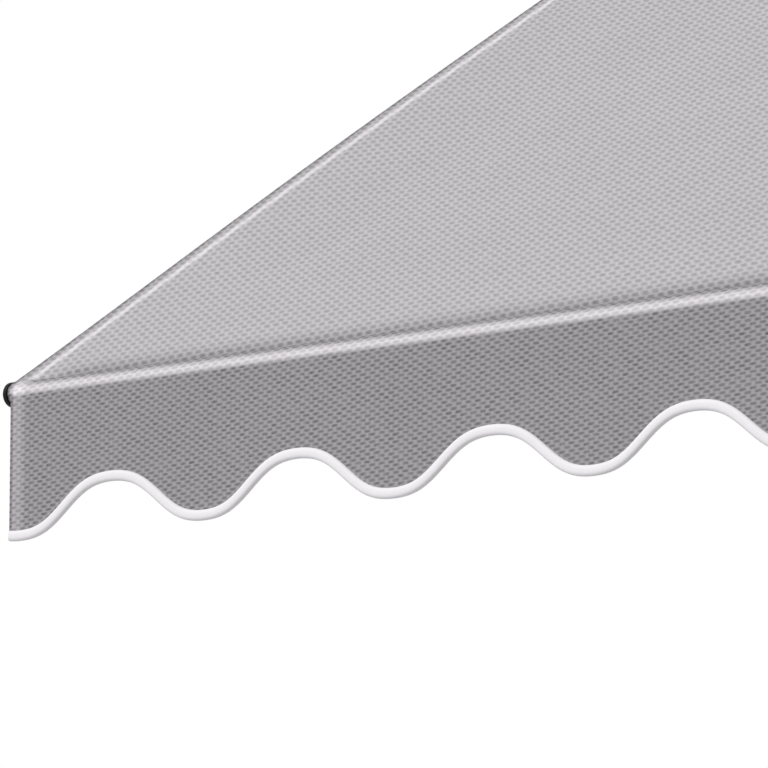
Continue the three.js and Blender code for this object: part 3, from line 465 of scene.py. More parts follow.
@dataclass(frozen=True)
class Coating:
    """A hard finish: powder coat, moulded plastic, rubber or bare metal."""

    name: str
    colour: Colour
    roughness: float
    metallic: float = 0.0
    grain_scale: float = 700.0
    grain_depth: float = 0.06 * MM
    stretch: tuple[float, float, float] = (1, 1, 1)
    grain_tone: float = 0.12
    grain_rough: float = 0.12
    cloud_scale: float = 9.0
    cloud_detail: float = 4.0
    cloud_tone: float = 0.24
    cloud_rough: float = 0.14
    dust: float = 0.0
    dust_height: float = 0.35
    dust_colour: Colour = (0.36, 0.34, 0.31, 1.0)
    shine: float = 0.5

    def material(self) -> bpy.types.Material:
        """Build the finish with its grain, clouding and dust near the ground.

        Returns:
            A material on Object coordinates.
        """
        made = bpy.data.materials.new(self.name)
        graph = Graph(made)
        grain = graph.noise(graph.place(self.stretch), self.grain_scale)
        cloud = graph.noise(graph.place(), self.cloud_scale, self.cloud_detail)
        tone = 1 + cloud * self.cloud_tone + grain * self.grain_tone
        colour = graph.toned(self.colour, tone)
        if self.dust:
            height = graph.parts(graph.place())[2]
            low = 1 - height.smooth(0.0, self.dust_height)
            colour = graph.mixed(low * self.dust * (1 + cloud), colour, self.dust_colour)
        graph.surface(
            {
                "Base Color": colour,
                "Metallic": self.metallic,
                "Roughness": self.roughness + cloud * self.cloud_rough + grain * self.grain_rough,
                "Specular IOR Level": self.shine,
                "Normal": graph.relief(grain + 0.5, self.grain_depth),
            }
        )
        return made


CANOPY_CLOTH = WovenCloth(
    name="canopy_cloth",
    ground=(0.584, 0.56, 0.584, 1.0),
    dash_tone=0.675,
    row=16.0 * MM,
    slant=0.764,
    skew=-0.126,
    width=2 * CLOTH_HALF,
    # Painted shade on the hem's outer edge, then a painted highlight line along its inner edge.
    hem=(
        (0.0, 0.4),
        (5 * MM, 0.54),
        (9 * MM, 0.74),
        (15 * MM, 0.9),
        (22 * MM, 0.97),
        (26 * MM, 1.17),
        (30 * MM, 1.43),
        (33 * MM, 1.47),
        (37 * MM, 1.2),
        (41 * MM, 1.0),
    ),
    # Painted shade in the crease above the front rail, darkest at the seam; near the side edges the
    # corner leaves it out.
    fold=((1.440, 1.0), (1.460, 0.93), (1.475, 0.83), (1.485, 0.71), (CLOTH_SEAM, 0.63)),
    corner=((1.440, 1.0), (CLOTH_SEAM, 1.0)),
    corner_reach=0.12,
)
# Painted highlight rising onto the sleeve over the front rail, where the valance's fold and corner
# start.
FOLD_RISE = ((-8 * MM, 1.0), (-5.5 * MM, 1.08), (-3.5 * MM, 1.4), (-1 * MM, 1.9))
VALANCE_CLOTH = WovenCloth(
    name="valance_cloth",
    # The ground is a darker copy of the canopy cloth: painted shade of the upright hanging face.
    ground=(0.39, 0.374, 0.39, 1.0),
    dash_tone=0.50,
    row=4.8 * MM,
    skew=0.04,
    width=2 * (CLOTH_HALF - VALANCE_INSET),
    # Painted shade on the sleeve's bare end beside the hanging cloth, then a painted highlight along
    # the hem.
    hem=(
        (-6 * MM, 0.3),
        (-2 * MM, 0.6),
        (0.0, 0.75),
        (3 * MM, 0.9),
        (6 * MM, 1.27),
        (18 * MM, 1.25),
        (30 * MM, 1.0),
    ),
    # Painted highlight on the sleeve over the front rail, falling to a little painted shade towards
    # the seam.
    fold=(
        *FOLD_RISE,
        (2 * MM, 2.15),
        (5 * MM, 1.95),
        (8 * MM, 1.55),
        (11 * MM, 1.2),
        (14 * MM, 1.0),
        (17 * MM, 0.93),
        (22 * MM, 0.93),
    ),
    # Near the side edges the painted highlight stays brighter up to the seam.
    corner=(*FOLD_RISE, (4 * MM, 1.95), (11 * MM, 1.5), (22 * MM, 1.25)),
    corner_reach=0.05,
)
ANTHRACITE = Coating("anthracite_coat", (0.045, 0.05, 0.055, 1.0), 0.42, dust=0.25)
ALLOY = Coating("mill_alloy", (0.6, 0.61, 0.62, 1.0), 0.34, 1.0, stretch=(0.02, 1, 1))
ZINC = Coating("zinc_plate", (0.55, 0.56, 0.57, 1.0), 0.36, 1.0, grain_scale=300.0)
PLASTIC = Coating("black_plastic", (0.005, 0.005, 0.005, 1.0), 0.5, grain_scale=1400.0, shine=0.12)
RUBBER = Coating("black_rubber", (0.012, 0.012, 0.012, 1.0), 0.8, dust=0.2, shine=0.2)


class Bench:
    """The modelling moves that the pieces share."""

    SHARP_FROM = math.radians(38)
    SMOOTH_UNDER = math.radians(36)
    FLAT_UNDER = math.radians(0.6)
    FLAT_WEIGHT = 50
    WELD = 0.01 * MM
    SOLID_WELD = 0.005 * MM

    @staticmethod
    def clear() -> None:
        """Go to object mode with nothing selected."""
        if bpy.context.mode != "OBJECT":
            bpy.ops.object.mode_set(mode="OBJECT")
        bpy.ops.object.select_all(action="DESELECT")

    @staticmethod
    def take(piece: bpy.types.Object) -> None:
        """Make one piece the only selected and active one.

        Args:
            piece: The piece.
        """
        Bench.clear()
        piece.select_set(True)
        bpy.context.view_layer.objects.active = piece

    @staticmethod
    @contextmanager
    def editing(piece: bpy.types.Object) -> Iterator[None]:
        """Hold a piece in edit mode, with all of it selected at first.

        Args:
            piece: The piece.

        Yields:
            Nothing. The piece goes back to object mode afterwards.
        """
        Bench.take(piece)
        bpy.ops.object.mode_set(mode="EDIT")
        bpy.ops.mesh.select_all(action="SELECT")
        yield
        bpy.ops.object.mode_set(mode="OBJECT")

    @staticmethod
    def clean(piece: bpy.types.Object) -> None:
        """Merge doubles and turn the faces outwards.

        Args:
            piece: The piece.
        """
        with Bench.editing(piece):
            bpy.ops.mesh.remove_doubles(threshold=Bench.WELD)
            bpy.ops.mesh.normals_make_consistent(inside=False)

    @staticmethod
    def apply(piece: bpy.types.Object, kind: str, settings: dict[str, object]) -> None:
        """Add one modifier to a piece and apply it.

        Args:
            piece: The piece.
            kind: The modifier's type.
            settings: What is set on the modifier.
        """
        Bench.take(piece)
        step = piece.modifiers.new(kind.title(), kind)
        for key, value in settings.items():
            setattr(step, key, value)
        bpy.ops.object.modifier_apply(modifier=step.name)

    @staticmethod
    def soften(piece: bpy.types.Object, width: float = 0.0, segments: int = 2) -> None:
        """Round a piece's sharp edges and shade it by angle.

        Args:
            piece: The piece.
            width: Width of the rounding, in metres; 0 leaves the edges.
            segments: Faces across the rounding.
        """
        if width:
            rounding = {
                "width": width,
                "segments": segments,
                "limit_method": "ANGLE",
                "angle_limit": Bench.SHARP_FROM,
            }
            Bench.apply(piece, "BEVEL", rounding)
            with Bench.editing(piece):
                bpy.ops.mesh.dissolve_degenerate(threshold=Bench.WELD)
        Bench.take(piece)
        bpy.ops.object.shade_smooth_by_angle(angle=Bench.SMOOTH_UNDER)
        if width:
            Bench.apply(piece, "WEIGHTED_NORMAL", {"keep_sharp": True, "weight": Bench.FLAT_WEIGHT})

    @staticmethod
    def thickened(piece: bpy.types.Object, thickness: float) -> bpy.types.Object:
        """Give a sheet its thickness, behind its face, and shade it.

        Args:
            piece: The sheet.
            thickness: The thickness, in metres.

        Returns:
            The same sheet.
        """
        Bench.apply(piece, "SOLIDIFY", {"thickness": thickness, "offset": -1.0})
        Bench.soften(piece)
        return piece

    @staticmethod
    def turned(
        name: str,
        profile: Outline,
        base: Vector,
        axis: Vector,
        steps: int = 48,
        rounding: float = 0.0,
    ) -> bpy.types.Object:
        """Turn a profile about an axis.

        Args:
            name: The piece's name.
            profile: Radius and height of each point, in millimetres.
            base: The point on the axis where the height is 0.
            axis: Direction of the height.
            steps: Faces round the axis.
            rounding: Width of the rounding on sharp edges, in metres.

        Returns:
            The turned piece.
        """
        Bench.clear()
        bpy.ops.mesh.primitive_plane_add(size=MM)
        piece = bpy.context.object
        piece.name = name
        turn = axis.to_track_quat("Z", "Y")
        points = [base + turn @ Vector((r * MM, 0, h * MM)) for r, h in profile]
        with Bench.editing(piece):
            bpy.ops.mesh.merge(type="CENTER")
            bpy.ops.transform.translate(value=points[0])
            for start, end in zip(points, points[1:]):
                bpy.ops.mesh.extrude_vertices_move(TRANSFORM_OT_translate={"value": end - start})
            bpy.ops.mesh.select_all(action="SELECT")
            bpy.ops.mesh.spin(steps=steps, angle=math.tau, center=base, axis=axis)
        Bench.clean(piece)
        Bench.soften(piece, rounding)
        return piece

    @staticmethod
    def refined(
        node: str, name: str, rounding: float, segments: int = 2, hollow: bool = False
    ) -> bpy.types.Object:
        """Copy a node's solid into a new piece with rounded edges.

        Args:
            node: The node.
            name: The new piece's name.
            rounding: Width of the rounding, in metres.
            segments: Faces across the rounding.
            hollow: Whether its ends are rings, whose faces are cut up first.

        Returns:
            The new piece.
        """
        piece = bpy.data.objects.new(name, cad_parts[node].data.copy())
        bpy.context.scene.collection.objects.link(piece)
        piece.data.materials.clear()
        Bench.take(piece)
        bpy.ops.mesh.customdata_custom_splitnormals_clear()
        with Bench.editing(piece):
            bpy.ops.mesh.remove_doubles(threshold=Bench.SOLID_WELD)
            bpy.ops.mesh.dissolve_limited(angle_limit=Bench.FLAT_UNDER)
            if hollow:
                bpy.ops.mesh.select_all(action="DESELECT")
                bpy.ops.mesh.select_mode(type="FACE")
                bpy.ops.mesh.select_face_by_sides(number=4, type="GREATER")
                bpy.ops.mesh.quads_convert_to_tris()
                bpy.ops.mesh.select_mode(type="VERT")
        Bench.soften(piece, rounding, segments)
        return piece

    @staticmethod
    def fused(first: bpy.types.Object, second: bpy.types.Object) -> bpy.types.Object:
        """Unite two closed pieces.

        Args:
            first: The piece that stays.
            second: The piece that goes into it.

        Returns:
            The first piece.
        """
        Bench.apply(first, "BOOLEAN", {"object": second, "operation": "UNION", "solver": "EXACT"})
        bpy.data.objects.remove(second)
        Bench.soften(first)
        return first

    @staticmethod
    def copied(model: bpy.types.Object, name: str, at: Vector, axis: Vector) -> bpy.types.Object:
        """Copy a model that stands at the origin along Z to another place.

        Args:
            model: The model.
            name: Name of the copy.
            at: Where its foot goes.
            axis: Where its Z goes.

        Returns:
            The copy, with its own mesh.
        """
        copy = bpy.data.objects.new(name, model.data.copy())
        bpy.context.scene.collection.objects.link(copy)
        turn = axis.to_track_quat("Z", "Y").to_matrix().to_4x4()
        copy.data.transform(Matrix.Translation(at) @ turn)
        return copy

    @staticmethod
    def gathered(name: str, parts: Sequence[bpy.types.Object]) -> bpy.types.Object:
        """Join separate parts into one piece.

        Args:
            name: The piece's name.
            parts: The parts.

        Returns:
            The first part, which holds them all.
        """
        Bench.take(parts[0])
        for part in parts:
            part.select_set(True)
        bpy.ops.object.join()
        parts[0].name = name
        return parts[0]

    @staticmethod
    def sheet(
        name: str,
        columns: Sequence[float],
        rows: Sequence[float],
        lay: Callable[[float, float], Laid],
    ) -> bpy.types.Object:
        """Shape a grid into a sheet.

        Args:
            name: The piece's name.
            columns: Stations across the sheet.
            rows: Stations along the sheet.
            lay: Gives a station's place and its flat coordinates.

        Returns:
            The sheet, without thickness.
        """
        Bench.clear()
        across, length = len(columns) - 1, len(rows) - 1
        bpy.ops.mesh.primitive_grid_add(x_subdivisions=across, y_subdivisions=length, size=2.0)
        piece = bpy.context.object
        piece.name = name
        mesh = piece.data
        flats = []
        # The flat grid runs from -1 to 1 both ways.
        for vertex in mesh.vertices:
            column = columns[round((vertex.co.x + 1) / 2 * across)]
            row = rows[round((vertex.co.y + 1) / 2 * length)]
            vertex.co, flat = lay(column, row)
            flats.append(flat)
        layer = mesh.uv_layers[0]
        layer.name = "Flat"
        for loop in mesh.loops:
            layer.data[loop.index].uv = flats[loop.vertex_index]
        mesh.update()
        return piece


class Finishes:
    """The awning's materials by the record's slots, each built once, and their use."""

    def __init__(self) -> None:
        """Build every finish."""
        coat = ANTHRACITE.material()
        self.by_slot: dict[Slot, bpy.types.Material] = {
            Slot.CLOTH: CANOPY_CLOTH.material(),
            Slot.VALANCE_CLOTH: VALANCE_CLOTH.material(),
            Slot.TAPE: BindingTape().material(),
            Slot.COATED_STEEL: coat,
            Slot.COATED_ALLOY: coat,
            Slot.BARE_ALLOY: ALLOY.material(),
            Slot.ZINC_STEEL: ZINC.material(),
            Slot.BLACK_PLASTIC: PLASTIC.material(),
            Slot.BLACK_RUBBER: RUBBER.material(),
        }

    def dress(self, piece: bpy.types.Object, body: str, slot: Slot, *nodes: str) -> bpy.types.Object:
        """Give a piece its finish, its body and the nodes that it stands for.

        Args:
            piece: The finished mesh.
            body: The body that it moves with.
            slot: The record's slot that it takes its finish from.
            nodes: The nodes that it stands for, if any.

        Returns:
            The piece.
        """
        piece.data.materials.clear()
        piece.data.materials.append(self.by_slot[slot])
        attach(piece, body)
        if nodes:
            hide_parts(*nodes)
        LOG.info("%s rides on %s", piece.name, body)
        return piece

    def rounded(
        self,
        node: str,
        name: str,
        body: str,
        slot: Slot,
        rounding: float,
        segments: int = 2,
        hollow: bool = False,
    ) -> None:
        """Dress a copy of a node's solid with rounded edges, which stands for the node.

        Args:
            node: The node.
            name: The new piece's name.
            body: The body that it moves with.
            slot: The record's slot that it takes its finish from.
            rounding: Width of the rounding, in metres.
            segments: Faces across the rounding.
            hollow: Whether its ends are rings.
        """
        self.dress(Bench.refined(node, name, rounding, segments, hollow), body, slot, node)

    def paint(self, node: str, slot: Slot) -> None:
        """Give a node that stays its finish.

        Args:
            node: The node.
            slot: The slot whose finish it gets.
        """
        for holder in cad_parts[node].material_slots:
            holder.material = self.by_slot[slot]
        LOG.info("%s keeps its solid", node)


def eased(share: float) -> float:
    """Smooth step of a share that is held between 0 and 1."""
    share = min(1.0, max(0.0, share))
    return share * share * (3 - 2 * share)


def spread(marks: Sequence[float], step: float) -> list[float]:
    """Stations at every mark, with even ones between at most a step apart.

    Args:
        marks: Places in rising order.
        step: The widest gap.

    Returns:
        The stations in rising order.
    """
    stations = [marks[0]]
    for low, high in zip(marks, marks[1:]):
        count = max(1, math.ceil((high - low) / step))
        stations += [low + (high - low) * i / count for i in range(1, count + 1)]
    return stations


def ring(bore: float, radius: float, low: float, top: float) -> list[tuple[float, float]]:
    """Closed profile of a plain ring between two heights."""
    return [(bore, low), (radius, low), (radius, top), (bore, top), (bore, low)]


def grooves(
    rim: float, pitch: float, slant: float, width: float, count: int, face: float, floor: float
) -> list[tuple[float, float]]:
    """Profile of a row of grooves in a round face, from the rim inwards.

    Args:
        rim: Radius where the first groove starts.
        pitch: From one groove to the next.
        slant: Run of each groove's side.
        width: Width of each groove's floor.
        count: Number of grooves.
        face: Height of the face.
        floor: Height of the grooves' floors.

    Returns:
        Radius and height of each point.
    """
    points = []
    for start in [rim - pitch * i for i in range(count)]:
        inner = start - slant - width
        points += [(start, face), (start - slant, floor), (inner, floor), (inner - slant, face)]
    return points


@dataclass(frozen=True)
class Slope:
    """The sloping plane of the canopy, from the roller's axis to the front rail's, and its seam."""

    middle_x: float = 0.74
    axis_y: float = -0.112
    axis_z: float = 2.192
    pitch: float = math.radians(32)
    rail_up: float = -1.5
    rail_out: float = 12.5 * MM
    seam_depth: float = 1.6 * MM
    seam_start: float = 14 * MM
    seam_reach: float = 46 * MM

    @property
    def up(self) -> Vector:
        """Direction up the slope."""
        return Vector((0, math.cos(self.pitch), math.sin(self.pitch)))

    @property
    def out(self) -> Vector:
        """Direction out of the slope, upwards."""
        return Vector((0, -math.sin(self.pitch), math.cos(self.pitch)))

    @property
    def left(self) -> float:
        """X of the cloth's left edge."""
        return self.middle_x - CLOTH_HALF

    def at(self, x: float, up: float, out: float) -> Vector:
        """Point at an X, a way up the slope and a height over it."""
        return Vector((x, self.axis_y, self.axis_z)) + self.up * up + self.out * out

    def rail(self, x: float) -> Vector:
        """Point of the front rail's axis at an X."""
        return self.at(x, self.rail_up, self.rail_out)

    def edge(self, x: float) -> float:
        """Distance of an X from the nearer side edge of the cloth."""
        return CLOTH_HALF - abs(x - self.middle_x)

    def seam_dip(self, x: float) -> float:
        """Depth of the seam behind the front rail at an X."""
        return self.seam_depth * eased((self.edge(x) - self.seam_start) / self.seam_reach)

    def mirrored(self, marks: Sequence[float]) -> list[float]:
        """Some X left of the middle, with the same ones on its right."""
        return [*marks, *(2 * self.middle_x - x for x in reversed(marks))]

    def hem_marks(self, steps: Sequence[float]) -> list[float]:
        """X of stations near both side edges, given in millimetres from the edge."""
        return self.mirrored([self.left + step * MM for step in steps])


@dataclass
class Canopy:
    """The stretched cloth from the roller to the seam behind the front rail."""

    slope: Slope
    top: float = 28 * MM
    roller_end: float = 5 * MM
    seam: float = -CLOTH_SEAM
    dip: float = 24 * MM
    crown: float = 5 * MM
    sag: float = 7 * MM
    crown_reach: float = 0.30
    ripple: float = 0.6 * MM
    ripple_length: float = 0.41
    ripple_lean: float = 2.0
    welt_at: float = 28 * MM
    welt_half: float = 7 * MM
    welt: float = 0.8 * MM
    curl: float = 0.6 * MM
    curl_width: float = 7 * MM
    curl_start: float = 0.06
    curl_fade: float = 0.14
    thickness: float = 0.7 * MM
    folded_share: float = 0.1133
    hem_steps: Sequence[float] = (0, 1, 2.5, 4.5, 7, 12, 17, 19, 21, 23, 26, 29, 31, 33, 36, 45, 70)
    column_gap: float = 34 * MM
    row_gap: float = 26 * MM
    last_row: float = -20 * MM
    dip_rows: int = 8
    crest_rows: int = 4

    def height(self, x: float, up: float) -> float:
        """Height of the cloth over the slope's plane.

        Args:
            x: Place across the awning.
            up: Way up the slope, from the roller's axis.

        Returns:
            The height of the cloth's face.
        """
        edge = self.slope.edge(x)
        along = min(1.0, 1 - up / self.seam)
        bow = (4 * along * (1 - along)) ** 2
        near = 1 - eased(edge / self.crown_reach)
        lift = bow * (self.crown * near - self.sag * (1 - near))
        wave = math.sin(math.tau * x / self.ripple_length + self.ripple_lean * along)
        ripple = self.ripple * bow * wave * (1 - near)
        welt = self.welt * max(0.0, 1 - ((edge - self.welt_at) / self.welt_half) ** 2)
        curl = self.curl * (1 - eased(edge / self.curl_width))
        curl *= eased((-up - self.curl_start) / self.curl_fade)
        dip = self.slope.seam_dip(x) * (1 - eased((up - self.seam) / self.dip))
        wrap = math.sqrt(self.top**2 - max(0.0, up) ** 2) - self.top
        return self.top + lift + ripple + welt - curl - dip + wrap

    def lay(self, x: float, up: float) -> Laid:
        """Place of one station and its flat coordinates."""
        return self.slope.at(x, up, self.height(x, up)), (x - self.slope.left, -up)

    def build(self, finishes: Finishes) -> None:
        """Lay the cloth, give it thickness and set it on the awning's body.

        Args:
            finishes: The materials.
        """
        columns = spread(self.slope.hem_marks(self.hem_steps), self.column_gap)
        rows = [self.seam + self.dip * i / self.dip_rows for i in range(self.dip_rows + 1)]
        rows += spread([rows[-1], self.last_row, 0.0], self.row_gap)[1:]
        rows += [self.roller_end * i / self.crest_rows for i in range(1, self.crest_rows + 1)]
        piece = Bench.sheet("canopy_sheet", columns, rows, self.lay)
        Bench.thickened(piece, self.thickness)
        finishes.dress(piece, "awning", Slot.CLOTH, "canopy")
        tuple(self.slope.at(self.slope.middle_x, self.roller_end, self.top))
        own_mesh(piece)


@dataclass
class Valance:
    """The front sleeve with the hanging cloth and its bound, wavy edge."""

    slope: Slope
    inset: float = VALANCE_INSET
    sleeve: float = 15.5 * MM
    drop: float = 0.192
    wave: float = 64 * MM
    waves: int = 6
    wave_inset: float = 20 * MM
    wave_flat: float = 0.058
    seam_back: float = 6.5 * MM
    seam_out: float = 28 * MM
    wrist_half: float = 0.865
    notch: float = 19 * MM
    thickness: float = 0.8 * MM
    flutter: float = 1.2 * MM
    flutter_length: float = 0.57
    flutter_phase: float = 0.8
    flutter_growth: float = 1.5
    narrow_from: float = 0.06
    narrow_over: float = 0.05
    hem_steps: Sequence[float] = (0, 2, 4, 6, 9, 13, 17, 24)
    hang_rows: Sequence[float] = (0, 0.02, 0.05, *(i / 10 for i in range(1, 9)), 0.88, 0.93, 0.96)
    column_gap: float = 15 * MM
    sleeve_gap: float = 0.1
    back_gap: float = 60 * MM
    back_start: float = math.radians(4)
    back_end: float = math.radians(20)
    back_turn: float = math.radians(9)
    tape_half: float = 7.0 * MM
    tape_rise: float = 4.0 * MM
    tape_bulge: float = 4.2 * MM
    tape_trim: float = 1.5 * MM
    tape_gap: float = 8 * MM
    tape_faces: int = 18
    tape_square: float = 0.8
    tape_end: float = 0.5 * MM
    tape_end_size: float = 0.8

    @property
    def axis(self) -> Vector:
        """The rail's axis at the awning's middle."""
        return self.slope.rail(self.slope.middle_x)

    @property
    def start(self) -> float:
        """Angle on the sleeve where the hanging cloth leaves it, from the up-slope direction."""
        return math.pi - self.slope.pitch

    def edge(self, x: float) -> float:
        """Height of the wavy edge over the ground.

        Args:
            x: Place across the awning.

        Returns:
            The height, which lies between the drop and the drop less a wave.
        """
        reach = CLOTH_HALF - self.inset - self.wave_inset
        turn = math.pi * self.waves * (1 + (x - self.slope.middle_x) / reach)
        rise = (self.wave_flat * math.cos(3 * turn) - math.cos(turn)) / (1 - self.wave_flat)
        return self.axis.z - self.drop + self.wave / 2 * (1 + rise)

    def front(self, x: float, z: float) -> float:
        """Y of the hanging cloth's front face.

        Args:
            x: Place across the awning.
            z: Height over the ground.

        Returns:
            The Y, which swings more towards the lower edge.
        """
        free = max(0.0, (self.axis.z - z) / self.drop) ** self.flutter_growth
        swing = math.sin(math.tau * x / self.flutter_length + self.flutter_phase) * self.flutter
        return self.axis.y - self.sleeve + swing * free

    def round_tube(self, x: float, turn: float) -> Vector:
        """Point on the sleeve at an X and an angle from the up-slope direction."""
        way = self.slope.up * math.cos(turn) + self.slope.out * math.sin(turn)
        return self.slope.rail(x) + way * self.sleeve

    def build(self, finishes: Finishes) -> None:
        """Make the sheet and its binding.

        Args:
            finishes: The materials.
        """
        sheet = self.cloth()
        finishes.dress(sheet, "front_rail", Slot.VALANCE_CLOTH, "valance")
        binding = self.binding()
        finishes.dress(binding, "front_rail", Slot.TAPE, "valance_binding")
        around = math.tau * self.sleeve
        self.drop + around
        2 * CLOTH_HALF * (self.drop - self.wave / 2 + around)

    def lay(self, x: float, row: float) -> Laid:
        """Place of one station of the hanging cloth or the sleeve's front.

        Args:
            x: Station across the cloth.
            row: From -1 at the wavy edge to 0 at the sleeve, 1 where the cloth leaves it and 2
                at the seam.

        Returns:
            The place and its flat coordinates.
        """
        middle = self.slope.middle_x
        held = eased((row + self.narrow_from) / self.narrow_over) if row < 0 else 1.0
        x = middle + (x - middle) * (1 - self.inset / CLOTH_HALF * (1 - held))
        across = x - self.slope.left - self.inset
        if row < 0:
            z = self.axis.z + row * (self.axis.z - self.edge(x))
            return Vector((x, self.front(x, z), z)), (across, z - self.axis.z)
        out = self.seam_out - self.slope.seam_dip(x)
        rise = out - self.slope.rail_out
        leave = math.atan2(rise, self.seam_back)
        leave += math.acos(min(1.0, self.sleeve / math.hypot(self.seam_back, rise)))
        arc = self.sleeve * (self.start - leave)
        if row <= 1:
            turn = self.start - row * (self.start - leave)
            return self.round_tube(x, turn), (across, row * arc)
        foot = self.round_tube(x, leave)
        tail = self.slope.at(x, self.slope.rail_up + self.seam_back, out) - foot
        return foot + tail * (row - 1), (across, arc + tail.length * (row - 1))

    def lay_back(self, x: float, turn: float) -> Laid:
        """Place of one station behind the tube and its flat coordinates."""
        across = x - self.slope.left - self.inset
        return self.round_tube(x, turn), (across, -turn * self.sleeve)

    def cloth(self) -> bpy.types.Object:
        """Make the sleeve and the hanging cloth as one sheet.

        Returns:
            The sheet with its thickness.
        """
        middle = self.slope.middle_x
        columns = spread(self.slope.hem_marks(self.hem_steps), self.column_gap)
        rows = [row - 1 for row in self.hang_rows] + spread([0, 1, 2], self.sleeve_gap)
        parts = [Bench.sheet("valance_sheet", columns, rows, self.lay)]
        wrist = middle - self.wrist_half
        ends = self.slope.mirrored([self.slope.left, wrist - self.notch, wrist + self.notch])
        low, high = self.start + self.back_start, math.tau + self.back_end
        turns = spread([low, high], self.back_turn)[::-1]
        for number, pair in enumerate(zip(ends[::2], ends[1::2])):
            stations = spread(pair, self.back_gap)
            parts.append(Bench.sheet(f"sleeve_back_{number}", stations, turns, self.lay_back))
        return Bench.thickened(Bench.gathered("valance_sheet", parts), self.thickness)

    def binding(self) -> bpy.types.Object:
        """Sweep the folded tape along the wavy edge.

        Returns:
            The binding as one closed piece.
        """
        first = self.slope.left + self.inset + self.tape_trim
        stations = spread(self.slope.mirrored([first]), self.tape_gap)
        last = len(stations) - 1
        lengths = [0.0]
        for a, b in zip(stations, stations[1:]):
            lengths.append(lengths[-1] + math.hypot(b - a, self.edge(b) - self.edge(a)))

        def lay(key: float, turn: float) -> Laid:
            """Place on the tape's skin.

            Args:
                key: Number of the station, with two more past each end that close it.
                turn: Angle round the tape's section.

            Returns:
                The place and its flat coordinates.
            """
            index = min(max(int(key), 0), last)
            outside = max(-key, key - last, 0.0)
            size = (1.0, self.tape_end_size, 0.0)[int(outside)]
            x = stations[index] + math.copysign(self.tape_end, key) * (outside > 0)
            steep = (self.edge(x + MM) - self.edge(x - MM)) / (2 * MM)
            normal = Vector((-steep, 0, 1)).normalized()
            centre = Vector((x, 0, self.edge(x))) + normal * self.tape_rise
            centre.y = self.front(x, centre.z) + self.thickness / 2
            flat, bulge = (
                math.copysign(abs(part) ** self.tape_square, part)
                for part in (math.cos(turn), math.sin(turn))
            )
            skin = normal * (flat * self.tape_half * size)
            skin.y += bulge * self.tape_bulge * size
            return centre + skin, (lengths[index], turn * self.tape_half / 2)

        keys = [float(key) for key in range(-2, last + 3)]
        turns = [math.tau * i / self.tape_faces for i in range(self.tape_faces + 1)]
        piece = Bench.sheet("valance_tape", keys, turns, lay)
        Bench.clean(piece)
        Bench.soften(piece)
        return piece


@dataclass
class Rail:
    """The front tube in the sleeve, its end plugs and the arms' fists.

    Sizes are in millimetres and roundings in metres.
    """

    slope: Slope
    half: float = 997.0
    tube: float = 14.0
    wall: float = 1.5
    tube_facets: int = 40
    tube_rounding: float = 0.3 * MM
    cap: float = 16.5
    cap_face: float = 997.3
    cap_rim: float = 5.5
    cap_dome: float = 5.0
    cap_plug: float = 22.0
    cap_rounding: float = 0.4 * MM
    dome_steps: int = 10
    plug_play: float = 0.3
    plug_lead: float = 1.0
    plug_ribs: int = 9
    rib_step: float = 2.0
    rib_depth: float = 0.4
    fist_rounding: float = 1.2 * MM

    def plug(self) -> list[tuple[float, float]]:
        """Profile of a ribbed end plug with its domed head.

        Returns:
            Radius and distance from the rail's middle of each point.
        """
        radius = self.tube - self.wall - self.plug_play
        inner = self.half - self.cap_plug
        profile = [(0, inner), (radius - self.plug_lead, inner)]
        for rib in range(1, self.plug_ribs):
            profile.append((radius - self.rib_depth * (rib % 2), inner + self.rib_step * rib))
        profile += [(radius, self.cap_face), (self.cap, self.cap_face)]
        for step in range(self.dome_steps, -1, -1):
            turn = math.pi / 2 * step / self.dome_steps
            height = self.cap_face + self.cap_rim + self.cap_dome * math.cos(turn)
            profile.append((self.cap * math.sin(turn), height))
        return profile

    def build(self, finishes: Finishes) -> None:
        """Make the tube, the plugs and the fists.

        Args:
            finishes: The materials.
        """
        axis = self.slope.rail(self.slope.middle_x)
        profile = ring(self.tube - self.wall, self.tube, -self.half, self.half)
        tube = Bench.turned(
            "front_tube_piece", profile, axis, ALONG, self.tube_facets, self.tube_rounding
        )
        finishes.dress(tube, "front_rail", Slot.COATED_STEEL, "front_tube")
        for side in Side:
            name = side.node("rail_plug")
            cap = Bench.turned(name, self.plug(), axis, side.outward, rounding=self.cap_rounding)
            finishes.dress(cap, "front_rail", Slot.BLACK_PLASTIC, side.node("rail_cap"))
            fist, name = side.node("fist"), side.node("rail_fist")
            finishes.rounded(fist, name, "front_rail", Slot.COATED_ALLOY, self.fist_rounding)


@dataclass
class Roller:
    """The cloth left on the roller, and the roller's plain parts."""

    slope: Slope
    inner: float = 25.4 * MM
    outer: float = 27.1 * MM
    turns: int = 3
    steps: int = 44
    thickness: float = 0.4 * MM
    lap: float = math.radians(11.5)
    column_gap: float = 0.1

    def lay(self, x: float, step: float) -> Laid:
        """Place on the winding.

        Args:
            x: Station across the roll.
            step: Number of the station from the roll's inner end.

        Returns:
            The place and its flat coordinates.
        """
        left = self.steps * self.turns - step
        growth = self.outer - self.inner - self.thickness
        radius = self.outer - growth * left / (self.steps * self.turns)
        wound = self.lap + math.tau * left / self.steps
        point = self.slope.at(x, math.sin(wound) * radius, math.cos(wound) * radius)
        return point, (x - self.slope.left, -wound * radius)

    def build(self, finishes: Finishes) -> None:
        """Wind the cloth and finish the tube, the caps and the wheel.

        Args:
            finishes: The materials.
        """
        columns = spread(self.slope.mirrored([self.slope.left]), self.column_gap)
        rows = range(self.steps * self.turns, -1, -1)
        piece = Bench.thickened(Bench.sheet("wound_roll", columns, rows, self.lay), self.thickness)
        finishes.dress(piece, "roller", Slot.CLOTH, "wound_cloth")
        finishes.paint("roller_tube", Slot.BARE_ALLOY)
        finishes.paint("roller_idler_cap", Slot.BLACK_PLASTIC)
        finishes.paint("roller_gear_cap", Slot.BLACK_PLASTIC)
        finishes.paint("worm_wheel", Slot.ZINC_STEEL)


